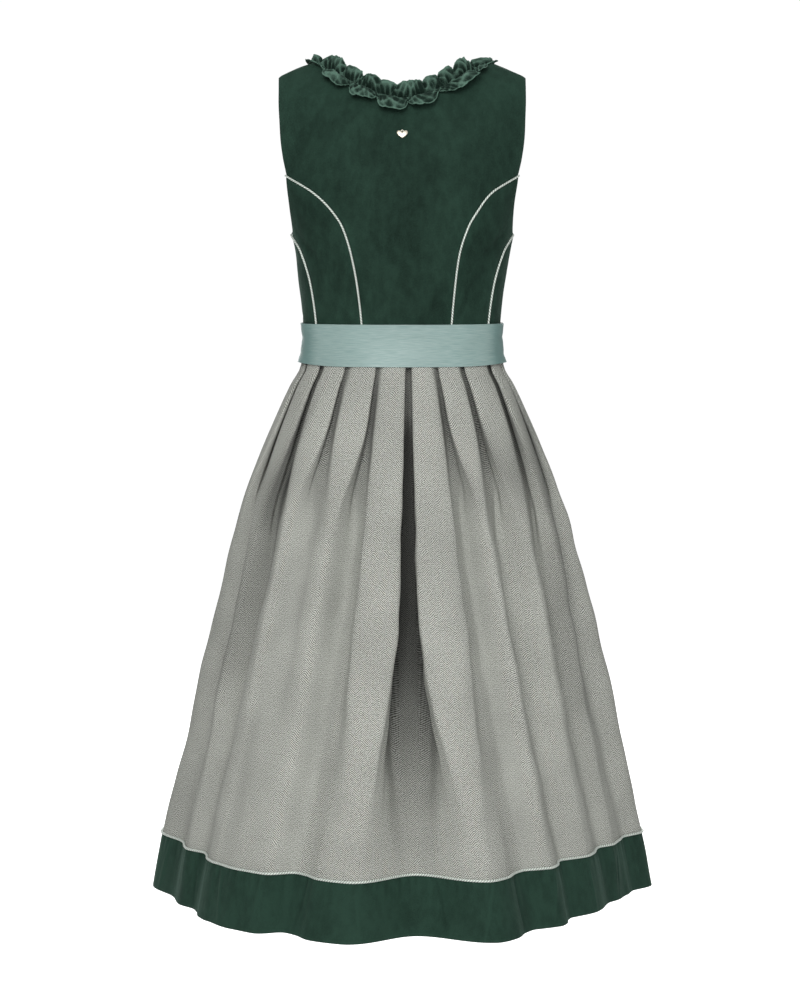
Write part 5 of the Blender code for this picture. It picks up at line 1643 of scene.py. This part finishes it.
def build_buttons():
    """Thread covered buttons down the front, each at the end of its stitched buttonhole."""
    points = []
    faces = []
    around = turns(BUTTONHOLE_POINTS)
    lifts = BUTTONHOLE_HALF_WIDTH * np.sign(np.sin(around)) * np.abs(np.sin(around)) ** 0.5
    for k in range(BUTTON_COUNT):
        drop = blend(BUTTON_FIRST_DROP, BUTTON_LAST_DROP, k / (BUTTON_COUNT - 1))
        level = float(level_at_drop(drop))
        reach = float(reach_at(level))
        place = torso_frame(level, reach)
        turned(f"covered_button_{k + 1}", BUTTON_PROFILE, BUTTON_SIDES, place, BUTTON_RIBS, f"button_{k + 1}")
        runs = reach + BUTTONHOLE_OFFSET + BUTTONHOLE_LENGTH / 2 * np.cos(around)
        path, normals, _, _ = torso_frame(level - lifts, runs)
        spots, loops = closed_cord(path + THREAD_HEIGHT * normals, normals, THREAD_RADIUS)
        faces += (loops + k * len(spots)).tolist()
        points.append(spots)
    new_object("buttonhole_stitches", np.concatenate(points), faces, "green_thread")


CHARM_DROP = 0.0815
CHARM_HALF_WIDTH = 0.0068
CHARM_HEIGHT = 0.0100
CHARM_CLEFT = 0.24
CHARM_RING_RADIUS = 0.00145
CHARM_WIRE_RADIUS = 0.00055
CHARM_WIRE_SIDES = 14
CHARM_WIRE_POINTS = 48
CHARM_RING_HEIGHT = 0.00125
HEART_POINTS = 72
HEART_ROUNDNESS = 1.7
KNOT_SIDES = 24
KNOT_RIBS = (6, 0.3)

# the knot's profile: radius, height
KNOT_PROFILE = (
    (0.0, 0.0002), (0.0005, 0.0003), (0.0005, 0.0021), (0.0008, 0.0023), (0.00095, 0.0026), (0.0008, 0.0029),
    (0.0, 0.0030),
)
# the heart's layers, from the cloth outwards: share of its outline, height
CHARM_LAYERS = (
    (0.8, 0.0005), (0.93, 0.0005), (0.985, 0.0007), (1.0, 0.0011), (0.985, 0.0015), (0.93, 0.0018),
    (0.8, 0.00205), (0.6, 0.0022), (0.3, 0.0023),
)


def heart_outline(count):
    """A plain rounded heart, one unit wide each way from its middle, top at 1, tip at -1."""
    turn = turns(count)
    y = 13 * np.cos(turn) - 5 * np.cos(2 * turn) - 2 * np.cos(3 * turn) - np.cos(4 * turn)
    x = np.sign(np.sin(turn)) * np.abs(np.sin(turn)) ** HEART_ROUNDNESS
    return np.stack((x, (y + 2.5) / 14.5), axis=1)


def build_charm():
    """A small plain heart that hangs by its own ring from a sewn thread knot."""
    place = torso_frame(float(level_at_drop(CHARM_DROP)), 0.0)
    spot, outward, along, up = place
    turned("sewn_thread_knot", KNOT_PROFILE, KNOT_SIDES, place, KNOT_RIBS, "charm_knot")
    outline = heart_outline(HEART_POINTS)
    middle = spot - (CHARM_RING_RADIUS + CHARM_HEIGHT * CHARM_CLEFT) * up
    span = CHARM_HALF_WIDTH * outline[:, :1] * along + CHARM_HEIGHT * 0.5 * outline[:, 1:] * up
    layers = [middle + scale * span + height * outward for scale, height in CHARM_LAYERS]
    poles = [(middle + height * outward)[None] for height in (0.0005, 0.00235)]
    points = np.concatenate(layers + poles)
    faces = ring_faces(len(layers), HEART_POINTS)
    low, high = len(points) - 2, len(points) - 1
    last = (len(layers) - 1) * HEART_POINTS
    pairs = [(m, (m + 1) % HEART_POINTS) for m in range(HEART_POINTS)]
    faces += [(low, n, m) for m, n in pairs]
    faces += [(high, last + m, last + n) for m, n in pairs]
    heart = new_object("heart_charm", points, faces, "pale_gold", body="charm")
    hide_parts("charm")
    turn = turns(CHARM_WIRE_POINTS)[:, None]
    spoke = np.cos(turn) * along + np.sin(turn) * up
    centres = spot + CHARM_RING_HEIGHT * outward + CHARM_RING_RADIUS * spoke
    ups = np.tile(outward, (len(centres), 1))
    points, faces = closed_cord(centres, ups, CHARM_WIRE_RADIUS, CHARM_WIRE_SIDES)
    new_object("charm_ring", points, faces.tolist(), "pale_gold", body="charm")


# ---------------------------------------------------------------- floor and light

FLOOR_SIZE = 60.0
FLOOR_GLOW = 0.8
BACKDROP_STRENGTH = 1.02
AMBIENT_STRENGTH = 0.30

# name, place, what it points at, size, power
LIGHTS = (
    ("key", (0.6, 3.5, 1.3), (0.0, 0.0, -0.45), (1.3, 1.6), 76.0),
    ("fill", (-0.8, 3.45, 0.4), (0.0, 0.0, -0.5), (1.4, 1.8), 26.0),
    ("front key", (-0.5, -3.4, 1.1), (0.0, 0.0, -0.5), (1.3, 1.6), 60.0),
    ("front fill", (1.0, -3.2, 0.3), (0.0, 0.0, -0.5), (1.4, 1.8), 20.0),
    ("top", (0.0, 0.2, 2.6), (0.0, 0.0, -0.3), (2.4, 2.4), 10.0),
)


def lay_floor():
    """A wide pale floor; what the camera sees of it is as bright as the backdrop."""
    made, tree, shader = new_finish("pale_floor", 0.9, 0.1)
    shader["Base Color"].default_value = rgb(0.9, 0.9, 0.9)
    shader["Emission Color"].default_value = rgb(1.0, 1.0, 1.0)
    seen = node(tree, "LightPath").outputs["Is Camera Ray"]
    tree.links.new(times(tree, seen, FLOOR_GLOW), shader["Emission Strength"])
    bpy.ops.mesh.primitive_plane_add(size=FLOOR_SIZE, location=(0.0, 0.0, FLOOR_HEIGHT))
    floor = bpy.context.object
    floor.name = "floor"
    floor.data.materials.append(made)


def soft_light(name, place, aim, size, power):
    data = bpy.data.lights.new(name, "AREA")
    data.shape = "RECTANGLE"
    data.size, data.size_y = size
    data.energy = power
    light = bpy.data.objects.new(name, data)
    light.location = place
    towards = np.array(aim) - np.array(place)
    flat = math.hypot(towards[0], towards[1])
    light.rotation_euler = (math.atan2(flat, -towards[2]), 0.0, math.atan2(-towards[0], towards[1]))
    bpy.context.collection.objects.link(light)


def light_studio():
    """Soft lights, and a white backdrop that gives less light than it shows."""
    world = bpy.data.worlds.new("studio")
    world.use_nodes = True
    tree = world.node_tree
    ground = tree.nodes["Background"]
    ground.inputs["Color"].default_value = rgb(1.0, 1.0, 1.0)
    seen = node(tree, "LightPath").outputs["Is Camera Ray"]
    extra = BACKDROP_STRENGTH - AMBIENT_STRENGTH
    strength = maths(tree, "MULTIPLY_ADD", seen, extra, AMBIENT_STRENGTH)
    tree.links.new(strength, ground.inputs["Strength"])
    bpy.context.scene.world = world
    bpy.context.scene.view_settings.view_transform = "Standard"
    for light in LIGHTS:
        soft_light(*light)


# ---------------------------------------------------------------- the whole dress

build_bodice()
build_piping()
for word, front in (("back", False), ("front", True)):
    build_skirt(word, front)
    build_hem_band(word, front)
    build_hem_piping(word, front)
build_sash()
build_ruffle()
build_buttons()
build_charm()
lay_floor()
light_studio()
